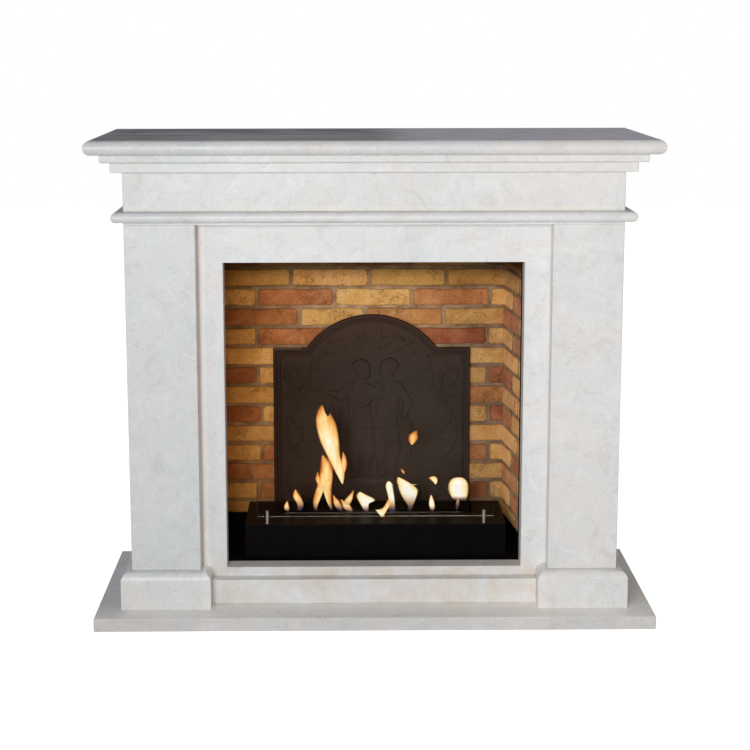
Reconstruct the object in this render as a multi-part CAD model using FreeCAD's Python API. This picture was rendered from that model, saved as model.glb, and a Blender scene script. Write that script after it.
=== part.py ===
import FreeCAD, Part
import math
import os

# A free-standing bioethanol fireplace: a stone mantel round a brick-lined firebox with a slot burner.
# Millimetres, +Z up, front towards -Y, origin at the middle of the footprint on the floor.
# "d" is always a depth counted forward from the back plane that stands against the wall.

os.makedirs("parts", exist_ok=True)
V = FreeCAD.Vector

# Hearth slab: how far it shows past the plinths
SLAB_T = 30.0
SLAB_SIDE = 54.0
SLAB_FRONT = 59.0
ARRIS = 1.2

# Stone legs
LEG_W = 154.0
LEG_FRONT = 408.0
PANEL_T = 24.0
PLINTH_H = 84.0
PLINTH_OUT = 23.0
OVOLO_R = 20.0
LEG_H = 775.0

# Inner stone frame and the riser below it
FRAME_RECESS = 45.0
FRAME_T = 45.0
FRAME_LAP = 32.0
STILE_SHOWN = 56.0
OPEN_SIDE = 32.0
RAIL_H = 56.0
RAIL_FRONT = 30.0
SILL_T = 20.0
LINTEL_H = 88.0

# Entablature
LISTEL_H = 4.0
BEAD_H = 25.0
BEAD_OUT = 25.0
FRIEZE_H = 86.0
FRIEZE_T = 30.0
STEP_LOW_H = 22.0
STEP_LOW_OUT = 23.0
STEP_UP_H = 18.0
STEP_UP_OUT = 43.0
STEP_ROUND = 4.0
SHELF_T = 30.0
SHELF_OUT = 73.0
NOSE_SAG = 10.0
BACK_RAIL_D = 40.0

# Firebox lining and casing: the right wall closes in towards the back, as photographed
LINING_ROOM_LEFT = 65.0
LINING_ROOM_RIGHT = 47.0
LINING_SPLAY = 35.0
LINING_BACK = 42.0
SLIP_T = 8.0
BOARD_T = 14.0
SHEET_T = 2.0
FLANGE_T = 3.0
FLANGE_W = 66.0
FLANGE_LIP = 2.5
CEILING_UP = 30.0
SKIRT_H = 34.0
BEARER_W = 100.0
BEARER_IN = 24.0

# Brick pattern
COURSE = 47.85
BRICK_MODULE = 186.5
JOINT = 7.0
JOINT_Z = 505.9
BOND_A = -6.0
BOND_B = 98.0
SIDE_BOND_A = 198.0
SIDE_BOND_B = 137.0
# Upright joints of the back wall that stand off the regular bond: (course, joint): shift
JOINT_SHIFTS = {
    (2, -1): 19.0,
    (2, 0): -9.0,
    (2, 1): -7.0,
    (1, 1): -6.0,
    (-1, 1): -4.0,
    (-3, -2): 9.0,
    (-5, -2): 8.0,
}
SHORTEST_SLIP = 12.0
SLIP_CORNER = 6.0

# Cast-iron fireback
BACK_HALF = 237.0
BACK_SHOULDER = 445.0
ARCH_HALF = 157.0
ARCH_RISE = 81.0
PLATE_T = 8.0
PLATE_GAP = 1.0
RIM_W = 8.0
RIM_UP = 6.0
BEADING_IN = 13.0
BEADING_W = 5.0
BEADING_UP = 4.0
STUD_R = 3.0
STUD_X = 150.0
STUD_HOLE_R = 3.6
STUD_OUT = 10.0
WASHER_R = 9.0
WASHER_T = 1.6
NUT_AF = 10.0
NUT_T = 5.0
THREAD_GAP = 0.05

# Burner
BURNER_X = 5.0
BURNER_W = 600.0
BURNER_D = 189.0
BURNER_H = 78.0
BURNER_SETBACK = 29.0
BURNER_WALL = 2.0
SLOT_END = 87.0
SLOT_W = 28.0
SLOT_IN = 100.0
TANK_END = 17.0
TANK_SIDE = 25.0
TANK_H = 64.0
TANK_WALL = 1.5
WOOL_H = 48.0
WOOL_GAP = 1.5
DAMPER_END = 27.0
DAMPER_T = 2.0
DAMPER_LAP = 5.0
DAMPER_TRAVEL = 42.0
RUN_GAP = 0.3
RAIL_T = 2.0
RAIL_GRIP = 10.0
KNOB_END = 12.0
KNOB_STEM_R = 3.0
KNOB_R = 5.0
KNOB_UP = 4.0
KNOB_H = 7.0
KNOB_PLAY = 1.0

# Glass and its posts
GLASS_SIDE = 27.0
GLASS_H = 75.0
GLASS_T = 5.0
GLASS_PLAY = 0.15
POST_R = 4.3
POST_H = 30.0
POST_SIDE = 50.5
POST_IN = 4.8
SEAT_H = 16.0

# Levels and planes that follow from the sizes above
OPEN_HALF = BURNER_W / 2 + OPEN_SIDE
LEG_IN = OPEN_HALF + STILE_SHOWN
LEG_OUT = LEG_IN + LEG_W
SLAB_W = 2 * (LEG_OUT + PLINTH_OUT + SLAB_SIDE)
SLAB_D = LEG_FRONT + PLINTH_OUT + SLAB_FRONT
BACK_Y = SLAB_D / 2.0
LEG_MID = LEG_IN + LEG_W / 2.0
FRAME_FRONT = LEG_FRONT - FRAME_RECESS
FRAME_BACK = FRAME_FRONT - FRAME_T
Z_SLAB = SLAB_T
Z_PLINTH = Z_SLAB + PLINTH_H
Z_LEG = Z_PLINTH + LEG_H
Z_RAIL = Z_SLAB + RAIL_H
Z_FLOOR = Z_RAIL + SILL_T
Z_HEAD = Z_LEG - LINTEL_H
Z_BEAD = Z_LEG + LISTEL_H + BEAD_H
Z_FRIEZE = Z_BEAD + FRIEZE_H
Z_STEP_LOW = Z_FRIEZE + STEP_LOW_H
Z_STEP_UP = Z_STEP_LOW + STEP_UP_H
Z_SHELF = Z_STEP_UP + SHELF_T
Z_CEILING = Z_HEAD + CEILING_UP
Z_SKIRT = Z_FLOOR + SKIRT_H
BOARD_FACE = LINING_BACK - SLIP_T
CASE_FACE = BOARD_FACE - BOARD_T
CASE_BACK = CASE_FACE - SHEET_T
LINING_FRONT = FRAME_BACK - FLANGE_T
LINING_LEFT = BURNER_X - BURNER_W / 2 - LINING_ROOM_LEFT
LINING_RIGHT = BURNER_X + BURNER_W / 2 + LINING_ROOM_RIGHT
LINING_CORNER = LINING_RIGHT - LINING_SPLAY
BURNER_BACK = FRAME_BACK - BURNER_SETBACK - BURNER_D
SLOT_L = BURNER_W - 2 * SLOT_END
SLOT_D = BURNER_BACK + BURNER_D - SLOT_IN
TANK_L = SLOT_L + 2 * TANK_END
TANK_D = SLOT_W + 2 * TANK_SIDE
DAMPER_L = SLOT_L + 2 * DAMPER_END
GLASS_W = BURNER_W - 2 * GLASS_SIDE


def box(x0, x1, d0, d1, z0, z1):
    """Block between two X values, two depths from the back plane and two heights."""
    return Part.makeBox(x1 - x0, d1 - d0, z1 - z0, V(x0, BACK_Y - d1, z0))


def outline(points):
    """Face bounded by straight runs and arcs: an entry is a point, or (middle, end) of an arc."""
    edges = []
    here = points[0]
    for step in points[1:] + [points[0]]:
        if isinstance(step, tuple):
            edges.append(Part.Arc(here, step[0], step[1]).toShape())
            here = step[1]
        elif step.distanceToPoint(here) > 1e-6:
            edges.append(Part.makeLine(here, step))
            here = step
    return Part.Face(Part.Wire(edges))


def upright(plan, z0, z1):
    """Prism between two heights over a plan of (X, depth) points."""
    return outline([V(x, BACK_Y - depth, z0) for x, depth in plan]).extrude(V(0, 0, z1 - z0))


def mirrored(shape):
    """The same piece on the other side of the middle plane."""
    return shape.mirror(V(0, 0, 0), V(1, 0, 0))


def softened(shape, size, chosen):
    """Small arris chamfer on the edges that the test picks."""
    edges = [edge for edge in shape.Edges if chosen(edge.BoundBox)]
    return shape.makeChamfer(size, edges)


def save(name, shape):
    shape.exportStep("parts/" + name + ".step")


def moulding(profile, mid_x, half_w, front, back):
    """Moulding that returns round three sides with true mitres.

    Each step of the profile holds an (out, z) point, or the middle and the end of an arc. The front run
    and the two side runs are extruded separately, and their common solid has the mitred corners.
    """
    reach = half_w + SLAB_W
    z_foot = profile[0][-1][1]
    z_top = profile[-1][-1][1]

    def run(place, far):
        points = []
        for step in profile:
            placed = tuple(place(out, z) for out, z in step)
            points.append(placed if len(placed) == 2 else placed[0])
        return outline(points + [far(z_top), far(z_foot)])

    front_run = run(lambda out, z: V(mid_x - reach, BACK_Y - front - out, z),
                    lambda z: V(mid_x - reach, BACK_Y - back, z))
    solid = front_run.extrude(V(2 * reach, 0, 0))
    for side in (-1, 1):
        side_run = run(lambda out, z: V(mid_x + side * (half_w + out), BACK_Y - back, z),
                       lambda z: V(mid_x - side * reach, BACK_Y - back, z))
        solid = solid.common(side_run.extrude(V(0, -SLAB_D - reach, 0)))
    return solid


# Hearth slab with its upper arris taken off
slab = box(-SLAB_W / 2, SLAB_W / 2, 0, SLAB_D, 0, SLAB_T)
slab = softened(slab, ARRIS, lambda b: b.ZMin > SLAB_T - 0.1 and b.YMin < BACK_Y - 0.1)
save("hearth_slab", slab)

# Plinth blocks: an ovolo shoulder returns round the front and both cheeks
diagonal = OVOLO_R * math.sqrt(0.5)
ovolo_in = PLINTH_OUT - OVOLO_R
ovolo_z = Z_PLINTH - OVOLO_R
plinth_profile = [
    ((PLINTH_OUT, Z_SLAB),),
    ((PLINTH_OUT, ovolo_z),),
    ((ovolo_in + diagonal, ovolo_z + diagonal), (ovolo_in, Z_PLINTH)),
]
plinth = moulding(plinth_profile, LEG_MID, LEG_W / 2, LEG_FRONT, FRAME_FRONT)
save("plinth_right", plinth)
save("plinth_left", mirrored(plinth))
shoulder = outline([
    V(LEG_OUT - PANEL_T, BACK_Y, Z_SLAB),
    V(LEG_OUT + PLINTH_OUT, BACK_Y, Z_SLAB),
    V(LEG_OUT + PLINTH_OUT, BACK_Y, ovolo_z),
    (V(LEG_OUT + ovolo_in + diagonal, BACK_Y, ovolo_z + diagonal),
     V(LEG_OUT + ovolo_in, BACK_Y, Z_PLINTH)),
    V(LEG_OUT - PANEL_T, BACK_Y, Z_PLINTH),
])
plinth_return = shoulder.extrude(V(0, -FRAME_FRONT, 0))
save("plinth_return_right", plinth_return)
save("plinth_return_left", mirrored(plinth_return))

# Pilasters and the side panels behind them
pilaster = box(LEG_IN, LEG_OUT, FRAME_FRONT, LEG_FRONT, Z_PLINTH, Z_LEG)
pilaster = softened(pilaster, ARRIS, lambda b: b.ZLength > 1 and b.YMax < BACK_Y - LEG_FRONT + 0.1)
save("pilaster_right", pilaster)
save("pilaster_left", mirrored(pilaster))
side_panel = box(LEG_OUT - PANEL_T, LEG_OUT, 0, FRAME_FRONT, Z_PLINTH, Z_LEG)
save("side_panel_right", side_panel)
save("side_panel_left", mirrored(side_panel))

# Riser between the plinths, then the inner frame that stands on it
rail_half = LEG_IN - PLINTH_OUT
save("base_rail", box(-rail_half, rail_half, FRAME_BACK, FRAME_FRONT + RAIL_FRONT, Z_SLAB, Z_RAIL))
frame_half = LEG_IN + FRAME_LAP
save("frame_sill", box(-frame_half, frame_half, FRAME_BACK, FRAME_FRONT, Z_RAIL, Z_FLOOR))
stile = box(OPEN_HALF, frame_half, FRAME_BACK, FRAME_FRONT, Z_FLOOR, Z_HEAD)
stile_face = BACK_Y - FRAME_FRONT + 0.1
stile = softened(stile, ARRIS, lambda b: b.ZLength > 1 and b.XMax < OPEN_HALF + 0.1 and b.YMax < stile_face)
save("frame_stile_right", stile)
save("frame_stile_left", mirrored(stile))
save("frame_lintel", box(-frame_half, frame_half, FRAME_BACK, FRAME_FRONT, Z_HEAD, Z_LEG))

# Bead course: a thin flat strip, then a half-round nose round three sides
nose_r = BEAD_H / 2
bead_foot = Z_LEG + LISTEL_H
bead_profile = [
    ((0.0, Z_LEG),),
    ((0.0, bead_foot),),
    ((BEAD_OUT - nose_r, bead_foot),),
    ((BEAD_OUT, bead_foot + nose_r), (BEAD_OUT - nose_r, Z_BEAD)),
]
save("bead_course", moulding(bead_profile, 0.0, LEG_OUT, LEG_FRONT, 0.0))

# Frieze boards and the timber rail behind them
save("frieze_front", box(-LEG_OUT, LEG_OUT, LEG_FRONT - FRIEZE_T, LEG_FRONT, Z_BEAD, Z_FRIEZE))
frieze_return = box(LEG_OUT - PANEL_T, LEG_OUT, 0, LEG_FRONT - FRIEZE_T, Z_BEAD, Z_FRIEZE)
save("frieze_return_right", frieze_return)
save("frieze_return_left", mirrored(frieze_return))
save("back_rail", box(-LEG_OUT + PANEL_T, LEG_OUT - PANEL_T, 0, BACK_RAIL_D, Z_BEAD, Z_FRIEZE))

# Cornice slabs: square below, softly rounded above
step_low = [((STEP_LOW_OUT, Z_FRIEZE),), ((STEP_LOW_OUT, Z_STEP_LOW),)]
save("cornice_lower", moulding(step_low, 0.0, LEG_OUT, LEG_FRONT, 0.0))
round_cut = STEP_ROUND * (1 - math.sqrt(0.5))
step_up = [
    ((STEP_UP_OUT - STEP_ROUND, Z_STEP_LOW),),
    ((STEP_UP_OUT - round_cut, Z_STEP_LOW + round_cut), (STEP_UP_OUT, Z_STEP_LOW + STEP_ROUND)),
    ((STEP_UP_OUT, Z_STEP_UP),),
]
save("cornice_upper", moulding(step_up, 0.0, LEG_OUT, LEG_FRONT, 0.0))

# Mantel shelf with a flattened bullnose
shelf_profile = [
    ((SHELF_OUT - NOSE_SAG, Z_STEP_UP),),
    ((SHELF_OUT, Z_STEP_UP + SHELF_T / 2), (SHELF_OUT - NOSE_SAG, Z_SHELF)),
]
save("mantel_shelf", moulding(shelf_profile, 0.0, LEG_OUT, LEG_FRONT, 0.0))

# Firebox casing of flat sheets
case_left = LINING_LEFT - SLIP_T - BOARD_T
case_right = LINING_RIGHT + SLIP_T + BOARD_T
case_out_left = case_left - SHEET_T
case_out_right = case_right + SHEET_T
case_low = Z_FLOOR - SHEET_T
case_high = Z_CEILING + SHEET_T
stud_z = JOINT_Z
casing_back = box(case_out_left, case_out_right, CASE_BACK, CASE_FACE, case_low, Z_CEILING)
back_board = box(LINING_LEFT - SLIP_T, LINING_CORNER + SLIP_T, CASE_FACE, BOARD_FACE, Z_FLOOR, Z_CEILING)
for stud_x in (-STUD_X, STUD_X):
    bolt_hole = Part.makeCylinder(STUD_HOLE_R, SLAB_D, V(stud_x, BACK_Y, stud_z), V(0, -1, 0))
    casing_back = casing_back.cut(bolt_hole)
    back_board = back_board.cut(bolt_hole)
save("casing_back", casing_back)
save("casing_left", box(case_out_left, case_left, CASE_FACE, LINING_FRONT, case_low, Z_CEILING))
save("casing_right", box(case_right, case_out_right, CASE_FACE, LINING_FRONT, case_low, Z_CEILING))
save("casing_top", box(case_out_left, case_out_right, CASE_BACK, LINING_FRONT, Z_CEILING, case_high))
save("casing_floor", box(case_left, case_right, CASE_FACE, FRAME_BACK, case_low, Z_FLOOR))

# Front flanges behind the stone frame
flange_left = LINING_LEFT - FLANGE_W
flange_right = LINING_RIGHT + FLANGE_W
flange_high = Z_CEILING + FLANGE_W / 2
save("flange_left", box(flange_left, LINING_LEFT, LINING_FRONT, FRAME_BACK, Z_FLOOR, Z_CEILING))
save("flange_right", box(OPEN_HALF - FLANGE_LIP, flange_right, LINING_FRONT, FRAME_BACK, Z_FLOOR, Z_CEILING))
save("flange_top", box(flange_left, flange_right, LINING_FRONT, FRAME_BACK, Z_CEILING, flange_high))

# Bearers that carry the casing on the hearth slab
for name, bearer_x in (("left", case_left + BEARER_IN), ("right", case_right - BEARER_IN - BEARER_W)):
    bearer = box(bearer_x, bearer_x + BEARER_W, LINING_BACK, FRAME_BACK, Z_SLAB, case_low)
    save("bearer_" + name, bearer)

# Mortar boards on three walls
save("board_back", back_board)
save("board_left", box(case_left, LINING_LEFT - SLIP_T, CASE_FACE, LINING_FRONT, Z_FLOOR, Z_CEILING))
board_right_plan = [
    (case_right, CASE_FACE),
    (case_right, LINING_FRONT),
    (LINING_RIGHT + SLIP_T, LINING_FRONT),
    (LINING_CORNER + SLIP_T, LINING_BACK),
    (LINING_CORNER + SLIP_T, CASE_FACE),
]
save("board_right", upright(board_right_plan, Z_FLOOR, Z_CEILING))
right_layer_plan = [
    (LINING_CORNER, LINING_BACK),
    (LINING_RIGHT, LINING_FRONT),
    (LINING_RIGHT + SLIP_T, LINING_FRONT),
    (LINING_CORNER + SLIP_T, LINING_BACK),
]

# Black skirting at the foot of the lining
skirt_back = box(LINING_LEFT - SLIP_T, LINING_CORNER + SLIP_T, BOARD_FACE, LINING_BACK, Z_FLOOR, Z_SKIRT)
skirt_left = box(LINING_LEFT - SLIP_T, LINING_LEFT, LINING_BACK, LINING_FRONT, Z_FLOOR, Z_SKIRT)
skirt_right = upright(right_layer_plan, Z_FLOOR, Z_SKIRT)
save("skirting", Part.makeCompound([skirt_back, skirt_left, skirt_right]))


def courses(start, end, bond_a, bond_b, shifts):
    """Running bond: (course low, course high, slip start, slip end) for every slip of a wall."""
    slips = []
    first = math.floor((Z_SKIRT - JOINT_Z) / COURSE)
    last = math.ceil((Z_CEILING - JOINT_Z) / COURSE)
    for row in range(first, last):
        low = max(JOINT_Z + row * COURSE + JOINT / 2, Z_SKIRT)
        high = min(JOINT_Z + (row + 1) * COURSE - JOINT / 2, Z_CEILING)
        if high - low < SHORTEST_SLIP:
            continue
        bond = bond_a if row % 2 == 0 else bond_b
        count = math.ceil((end - start) / BRICK_MODULE) + 2
        begin = math.floor((start - bond) / BRICK_MODULE)
        for step in range(begin, begin + count):
            left_joint = bond + step * BRICK_MODULE + shifts.get((row, step), 0.0)
            right_joint = bond + (step + 1) * BRICK_MODULE + shifts.get((row, step + 1), 0.0)
            left = max(left_joint + JOINT / 2, start)
            right = min(right_joint - JOINT / 2, end)
            if right - left >= SHORTEST_SLIP:
                slips.append((low, high, left, right))
    return slips


def tumbled(low, high, start, end, place, through):
    """Slip with worn corners: an eight-sided outline (along, z) that is pushed through a thickness."""
    cut = min(SLIP_CORNER, (high - low) / 3, (end - start) / 3)
    corners = [
        (start + cut, low),
        (end - cut, low),
        (end, low + cut),
        (end, high - cut),
        (end - cut, high),
        (start + cut, high),
        (start, high - cut),
        (start, low + cut),
    ]
    return outline([place(along, z) for along, z in corners]).extrude(through)


# Brick slips in running bond on the three walls
back_slips = []
for low, high, left, right in courses(LINING_LEFT, LINING_CORNER + SLIP_T, BOND_A, BOND_B, JOINT_SHIFTS):
    back_slips.append(tumbled(low, high, left, right,
                              lambda x, z: V(x, BACK_Y - BOARD_FACE, z), V(0, -SLIP_T, 0)))
save("brick_slips_back", Part.makeCompound(back_slips))
left_slips = []
right_slips = []
right_layer = upright(right_layer_plan, Z_SKIRT, Z_CEILING)
for low, high, near, far in courses(LINING_BACK, LINING_FRONT, SIDE_BOND_A, SIDE_BOND_B, {}):
    left_slips.append(tumbled(low, high, near, far,
                              lambda depth, z: V(LINING_LEFT, BACK_Y - depth, z), V(-SLIP_T, 0, 0)))
    right_slip = tumbled(low, high, near, far,
                         lambda depth, z: V(LINING_CORNER, BACK_Y - depth, z), V(LINING_SPLAY + SLIP_T, 0, 0))
    right_slips.append(right_slip.common(right_layer))
save("brick_slips_left", Part.makeCompound(left_slips))
save("brick_slips_right", Part.makeCompound(right_slips))

# Fireback: arched plate with a rounded outer rim and a fine inner bead that both follow the arch
plate_back = LINING_BACK + PLATE_GAP
plate_z = Z_FLOOR
shoulder_z = plate_z + BACK_SHOULDER
arch_r = (ARCH_HALF ** 2 + ARCH_RISE ** 2) / (2 * ARCH_RISE)


def fireback_face(inset, depth):
    """Outline of the arched plate, drawn inward by a distance, at a depth from the back plane."""
    y = BACK_Y - depth
    half = BACK_HALF - inset
    ledge = shoulder_z - inset
    radius = arch_r - inset
    centre_z = shoulder_z + ARCH_RISE - arch_r
    foot_half = math.sqrt(radius ** 2 - (ledge - centre_z) ** 2)
    return outline([
        V(-half, y, plate_z + inset),
        V(half, y, plate_z + inset),
        V(half, y, ledge),
        V(foot_half, y, ledge),
        (V(0, y, centre_z + radius), V(-foot_half, y, ledge)),
        V(-half, y, ledge),
    ])


def raised_band(inset, width, up):
    """Band that follows the outline between two insets, with its two front edges rounded."""
    front = plate_back + PLATE_T
    outer = fireback_face(inset, front).extrude(V(0, -up, 0))
    inner = fireback_face(inset + width, front).extrude(V(0, -up, 0))
    band = outer.cut(inner)
    edges = [edge for edge in band.Edges if edge.BoundBox.YMax < BACK_Y - front - up + 0.01]
    return band.makeFillet(min(width, up) * 0.45, edges)


plate = fireback_face(0.0, plate_back).extrude(V(0, -PLATE_T, 0))
plate = plate.fuse([raised_band(0.0, RIM_W, RIM_UP), raised_band(BEADING_IN, BEADING_W, BEADING_UP)])
save("fireback", plate.removeSplitter())

# Studs cast into the plate, and the nuts behind the casing
studs = []
nuts = []
stud_end = CASE_BACK - STUD_OUT
for stud_x in (-STUD_X, STUD_X):
    stud_foot = V(stud_x, BACK_Y - stud_end, stud_z)
    studs.append(Part.makeCylinder(STUD_R, plate_back - stud_end, stud_foot, V(0, -1, 0)))
    washer = Part.makeCylinder(WASHER_R, WASHER_T, V(stud_x, BACK_Y - CASE_BACK, stud_z), V(0, 1, 0))
    corner_r = NUT_AF / 2 / math.cos(math.pi / 6)
    corners = []
    for turn in range(6):
        angle = turn * math.pi / 3
        corner_x = stud_x + corner_r * math.cos(angle)
        corner_z = stud_z + corner_r * math.sin(angle)
        corners.append(V(corner_x, BACK_Y - CASE_BACK + WASHER_T, corner_z))
    nut = outline(corners).extrude(V(0, NUT_T, 0))
    thread_foot = V(stud_x, BACK_Y + SLAB_T, stud_z)
    thread = Part.makeCylinder(STUD_R + THREAD_GAP, SLAB_D, thread_foot, V(0, -1, 0))
    nuts.append(washer.fuse(nut).cut(thread))
save("fireback_studs", Part.makeCompound(studs))
save("stud_nuts", Part.makeCompound(nuts))

# Burner box, open above
burner_left = BURNER_X - BURNER_W / 2
burner_right = BURNER_X + BURNER_W / 2
burner_front = BURNER_BACK + BURNER_D
plate_low = Z_FLOOR + BURNER_H - BURNER_WALL
burner_top_z = Z_FLOOR + BURNER_H
outer = box(burner_left, burner_right, BURNER_BACK, burner_front, Z_FLOOR, plate_low)
inner = box(burner_left + BURNER_WALL, burner_right - BURNER_WALL, BURNER_BACK + BURNER_WALL,
            burner_front - BURNER_WALL, Z_FLOOR + BURNER_WALL, burner_top_z)
save("burner_box", outer.cut(inner))

# Burner top plate with the flame slot and the short guide slot of the knob
slot_back = SLOT_D - SLOT_W / 2
slot_front = SLOT_D + SLOT_W / 2
damper_depth = SLOT_W + 2 * DAMPER_LAP
damper_open = slot_back - DAMPER_LAP - DAMPER_TRAVEL
knob_x = BURNER_X + DAMPER_L / 2 - KNOB_END
knob_d = damper_open + damper_depth / 2
guide_half = KNOB_STEM_R + KNOB_PLAY
guide_back = knob_d - guide_half
guide_front = knob_d + DAMPER_TRAVEL + guide_half
slot_left = BURNER_X - SLOT_L / 2
slot_right = BURNER_X + SLOT_L / 2
top = box(burner_left, burner_right, BURNER_BACK, burner_front, plate_low, burner_top_z)
top = top.cut(box(slot_left, slot_right, slot_back, slot_front, plate_low, burner_top_z))
guide = box(knob_x - guide_half, knob_x + guide_half, guide_back, guide_front, plate_low, burner_top_z)
top = top.cut(guide)
save("burner_top", top)


def burner_block(length, depth, low, high):
    """Block centred under the flame slot."""
    half = length / 2
    return box(BURNER_X - half, BURNER_X + half, SLOT_D - depth / 2, SLOT_D + depth / 2, low, high)


# Reservoir and the ceramic wool that soaks up the fuel
tank_low = Z_FLOOR + BURNER_WALL
tank_high = tank_low + TANK_H
wool_z = tank_low + TANK_WALL
tank = burner_block(TANK_L, TANK_D, tank_low, tank_high)
tank = tank.cut(burner_block(TANK_L - 2 * TANK_WALL, TANK_D - 2 * TANK_WALL, wool_z, tank_high))
save("reservoir", tank)
wool_in = 2 * (TANK_WALL + WOOL_GAP)
save("absorbent_wool", burner_block(TANK_L - wool_in, TANK_D - wool_in, wool_z, wool_z + WOOL_H))

# Damper plate with its knob, open at rest, and the two rails it runs in
damper_high = plate_low - RUN_GAP
damper_low = damper_high - DAMPER_T
damper_left = BURNER_X - DAMPER_L / 2
damper_right = BURNER_X + DAMPER_L / 2
damper = box(damper_left, damper_right, damper_open, damper_open + damper_depth, damper_low, damper_high)
knob_y = BACK_Y - knob_d
knob_z = burner_top_z + KNOB_UP
stem = Part.makeCylinder(KNOB_STEM_R, knob_z - damper_low, V(knob_x, knob_y, damper_low))
knob = Part.makeCylinder(KNOB_R, KNOB_H, V(knob_x, knob_y, knob_z))
knob = knob.makeFillet(KNOB_H * 0.2, [edge for edge in knob.Edges if edge.Closed])
save("damper", damper.fuse([stem, knob]))
rail_back = damper_open - RUN_GAP
rail_front = damper_open + DAMPER_TRAVEL + damper_depth + RUN_GAP
lip_high = damper_low - RUN_GAP
lip_low = lip_high - RAIL_T
rail_in = DAMPER_L / 2 - RAIL_GRIP
rail_web = DAMPER_L / 2 + RUN_GAP
rails = []
for side in (-1, 1):
    lip_x = sorted((BURNER_X + side * rail_in, BURNER_X + side * (rail_web + RAIL_T)))
    web_x = sorted((BURNER_X + side * rail_web, BURNER_X + side * (rail_web + RAIL_T)))
    lip = box(lip_x[0], lip_x[1], rail_back, rail_front, lip_low, lip_high)
    web = box(web_x[0], web_x[1], rail_back, rail_front, lip_low, plate_low)
    rails.append(lip.fuse(web).removeSplitter())
save("damper_rails", Part.makeCompound(rails))

# Slotted posts and the glass pane that drops into them
post_d = burner_front - POST_IN
glass_z = burner_top_z + SEAT_H
glass_top = glass_z + GLASS_H
half_seat = GLASS_T / 2 + GLASS_PLAY
posts = []
for side in (-1, 1):
    post_x = BURNER_X + side * (BURNER_W / 2 - POST_SIDE)
    post = Part.makeCylinder(POST_R, POST_H, V(post_x, BACK_Y - post_d, burner_top_z))
    seat = box(post_x - POST_R, post_x + POST_R, post_d - half_seat, post_d + half_seat, glass_z, glass_top)
    posts.append(post.cut(seat))
save("glass_posts", Part.makeCompound(posts))
glass_left = BURNER_X - GLASS_W / 2
glass_right = BURNER_X + GLASS_W / 2
pane = box(glass_left, glass_right, post_d - GLASS_T / 2, post_d + GLASS_T / 2, glass_z, glass_top)
pane = softened(pane, GLASS_T * 0.12, lambda b: b.XLength > 1 and b.ZMin > glass_top - 0.1)
save("glass_screen", pane)
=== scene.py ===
# %% [markdown]
# A bioethanol fireplace in a stone mantel. The imported solids are the fixed frame of the scene, and
# every piece that is made here lies in the same metres. We start by loading that frame.

# %% Load the frame
import math
import bpy
import numpy as np
from mathutils import Matrix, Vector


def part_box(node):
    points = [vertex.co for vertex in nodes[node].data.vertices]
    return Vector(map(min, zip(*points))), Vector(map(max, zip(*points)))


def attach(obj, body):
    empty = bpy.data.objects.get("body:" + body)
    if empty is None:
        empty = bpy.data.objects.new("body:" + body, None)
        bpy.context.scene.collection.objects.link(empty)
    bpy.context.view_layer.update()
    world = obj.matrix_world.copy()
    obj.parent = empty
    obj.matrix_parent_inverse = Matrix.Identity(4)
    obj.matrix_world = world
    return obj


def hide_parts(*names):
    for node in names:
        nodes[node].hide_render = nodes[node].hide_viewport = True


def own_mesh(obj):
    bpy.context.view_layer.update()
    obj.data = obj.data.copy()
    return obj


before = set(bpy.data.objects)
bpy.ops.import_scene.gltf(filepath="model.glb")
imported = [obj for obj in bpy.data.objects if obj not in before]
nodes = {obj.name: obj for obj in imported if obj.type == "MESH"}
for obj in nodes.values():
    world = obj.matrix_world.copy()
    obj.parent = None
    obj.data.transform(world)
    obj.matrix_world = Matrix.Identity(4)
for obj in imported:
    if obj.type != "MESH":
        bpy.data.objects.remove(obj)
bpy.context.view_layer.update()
scene = bpy.context.scene

# %% [markdown]
# A mesh is only a list of points and a list of faces. Most shapes below are a grid of points that a
# formula gives, so one helper numbers the quads of a grid and another puts whole arrays into a mesh.
# Filling the mesh with arrays is quicker than adding points one by one, and it keeps the formula clear.

# %% Helpers for meshes
SMOOTH_ANGLE = math.radians(38)


def corners_of(node):
    """Lowest and highest corner of a node's box, as arrays."""
    return (np.array(corner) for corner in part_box(node))


def grid_faces(rows, cols, wrap=False):
    """Quads of a grid numbered row by row; with wrap, the last column joins the first one again."""
    row, col = np.meshgrid(np.arange(rows - 1), np.arange(cols if wrap else cols - 1), indexing="ij")
    after = (col + 1) % cols
    quads = [row * cols + col, row * cols + after, (row + 1) * cols + after, (row + 1) * cols + col]
    return np.stack(quads, -1).reshape(-1, 4)


def add_piece(name, points, faces, body):
    """New object at the origin: points is (n, 3), faces is a list of index arrays."""
    sizes = np.concatenate([np.full(len(block), block.shape[1]) for block in faces])
    starts = np.concatenate([[0], np.cumsum(sizes)[:-1]])
    corners = np.concatenate([block.reshape(-1) for block in faces])
    mesh = bpy.data.meshes.new(name)
    mesh.vertices.add(len(points))
    mesh.vertices.foreach_set("co", np.ascontiguousarray(points, dtype=np.float32).reshape(-1))
    mesh.loops.add(len(corners))
    mesh.loops.foreach_set("vertex_index", corners.astype(np.int32))
    mesh.polygons.add(len(sizes))
    mesh.polygons.foreach_set("loop_start", starts.astype(np.int32))
    mesh.polygons.foreach_set("use_smooth", np.full(len(sizes), True))
    mesh.update(calc_edges=True)
    mesh.set_sharp_from_angle(angle=SMOOTH_ANGLE)
    piece = bpy.data.objects.new(name, mesh)
    scene.collection.objects.link(piece)
    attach(piece, body)
    print(name, len(points), "points", len(sizes), "faces")
    return piece


def add_values(piece, **layers):
    """Stores numbers on the points of a piece, for its finish to read by name."""
    for name, values in layers.items():
        layer = piece.data.attributes.new(name, "FLOAT", "POINT")
        layer.data.foreach_set("value", np.ascontiguousarray(values, dtype=np.float32).reshape(-1))


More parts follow.
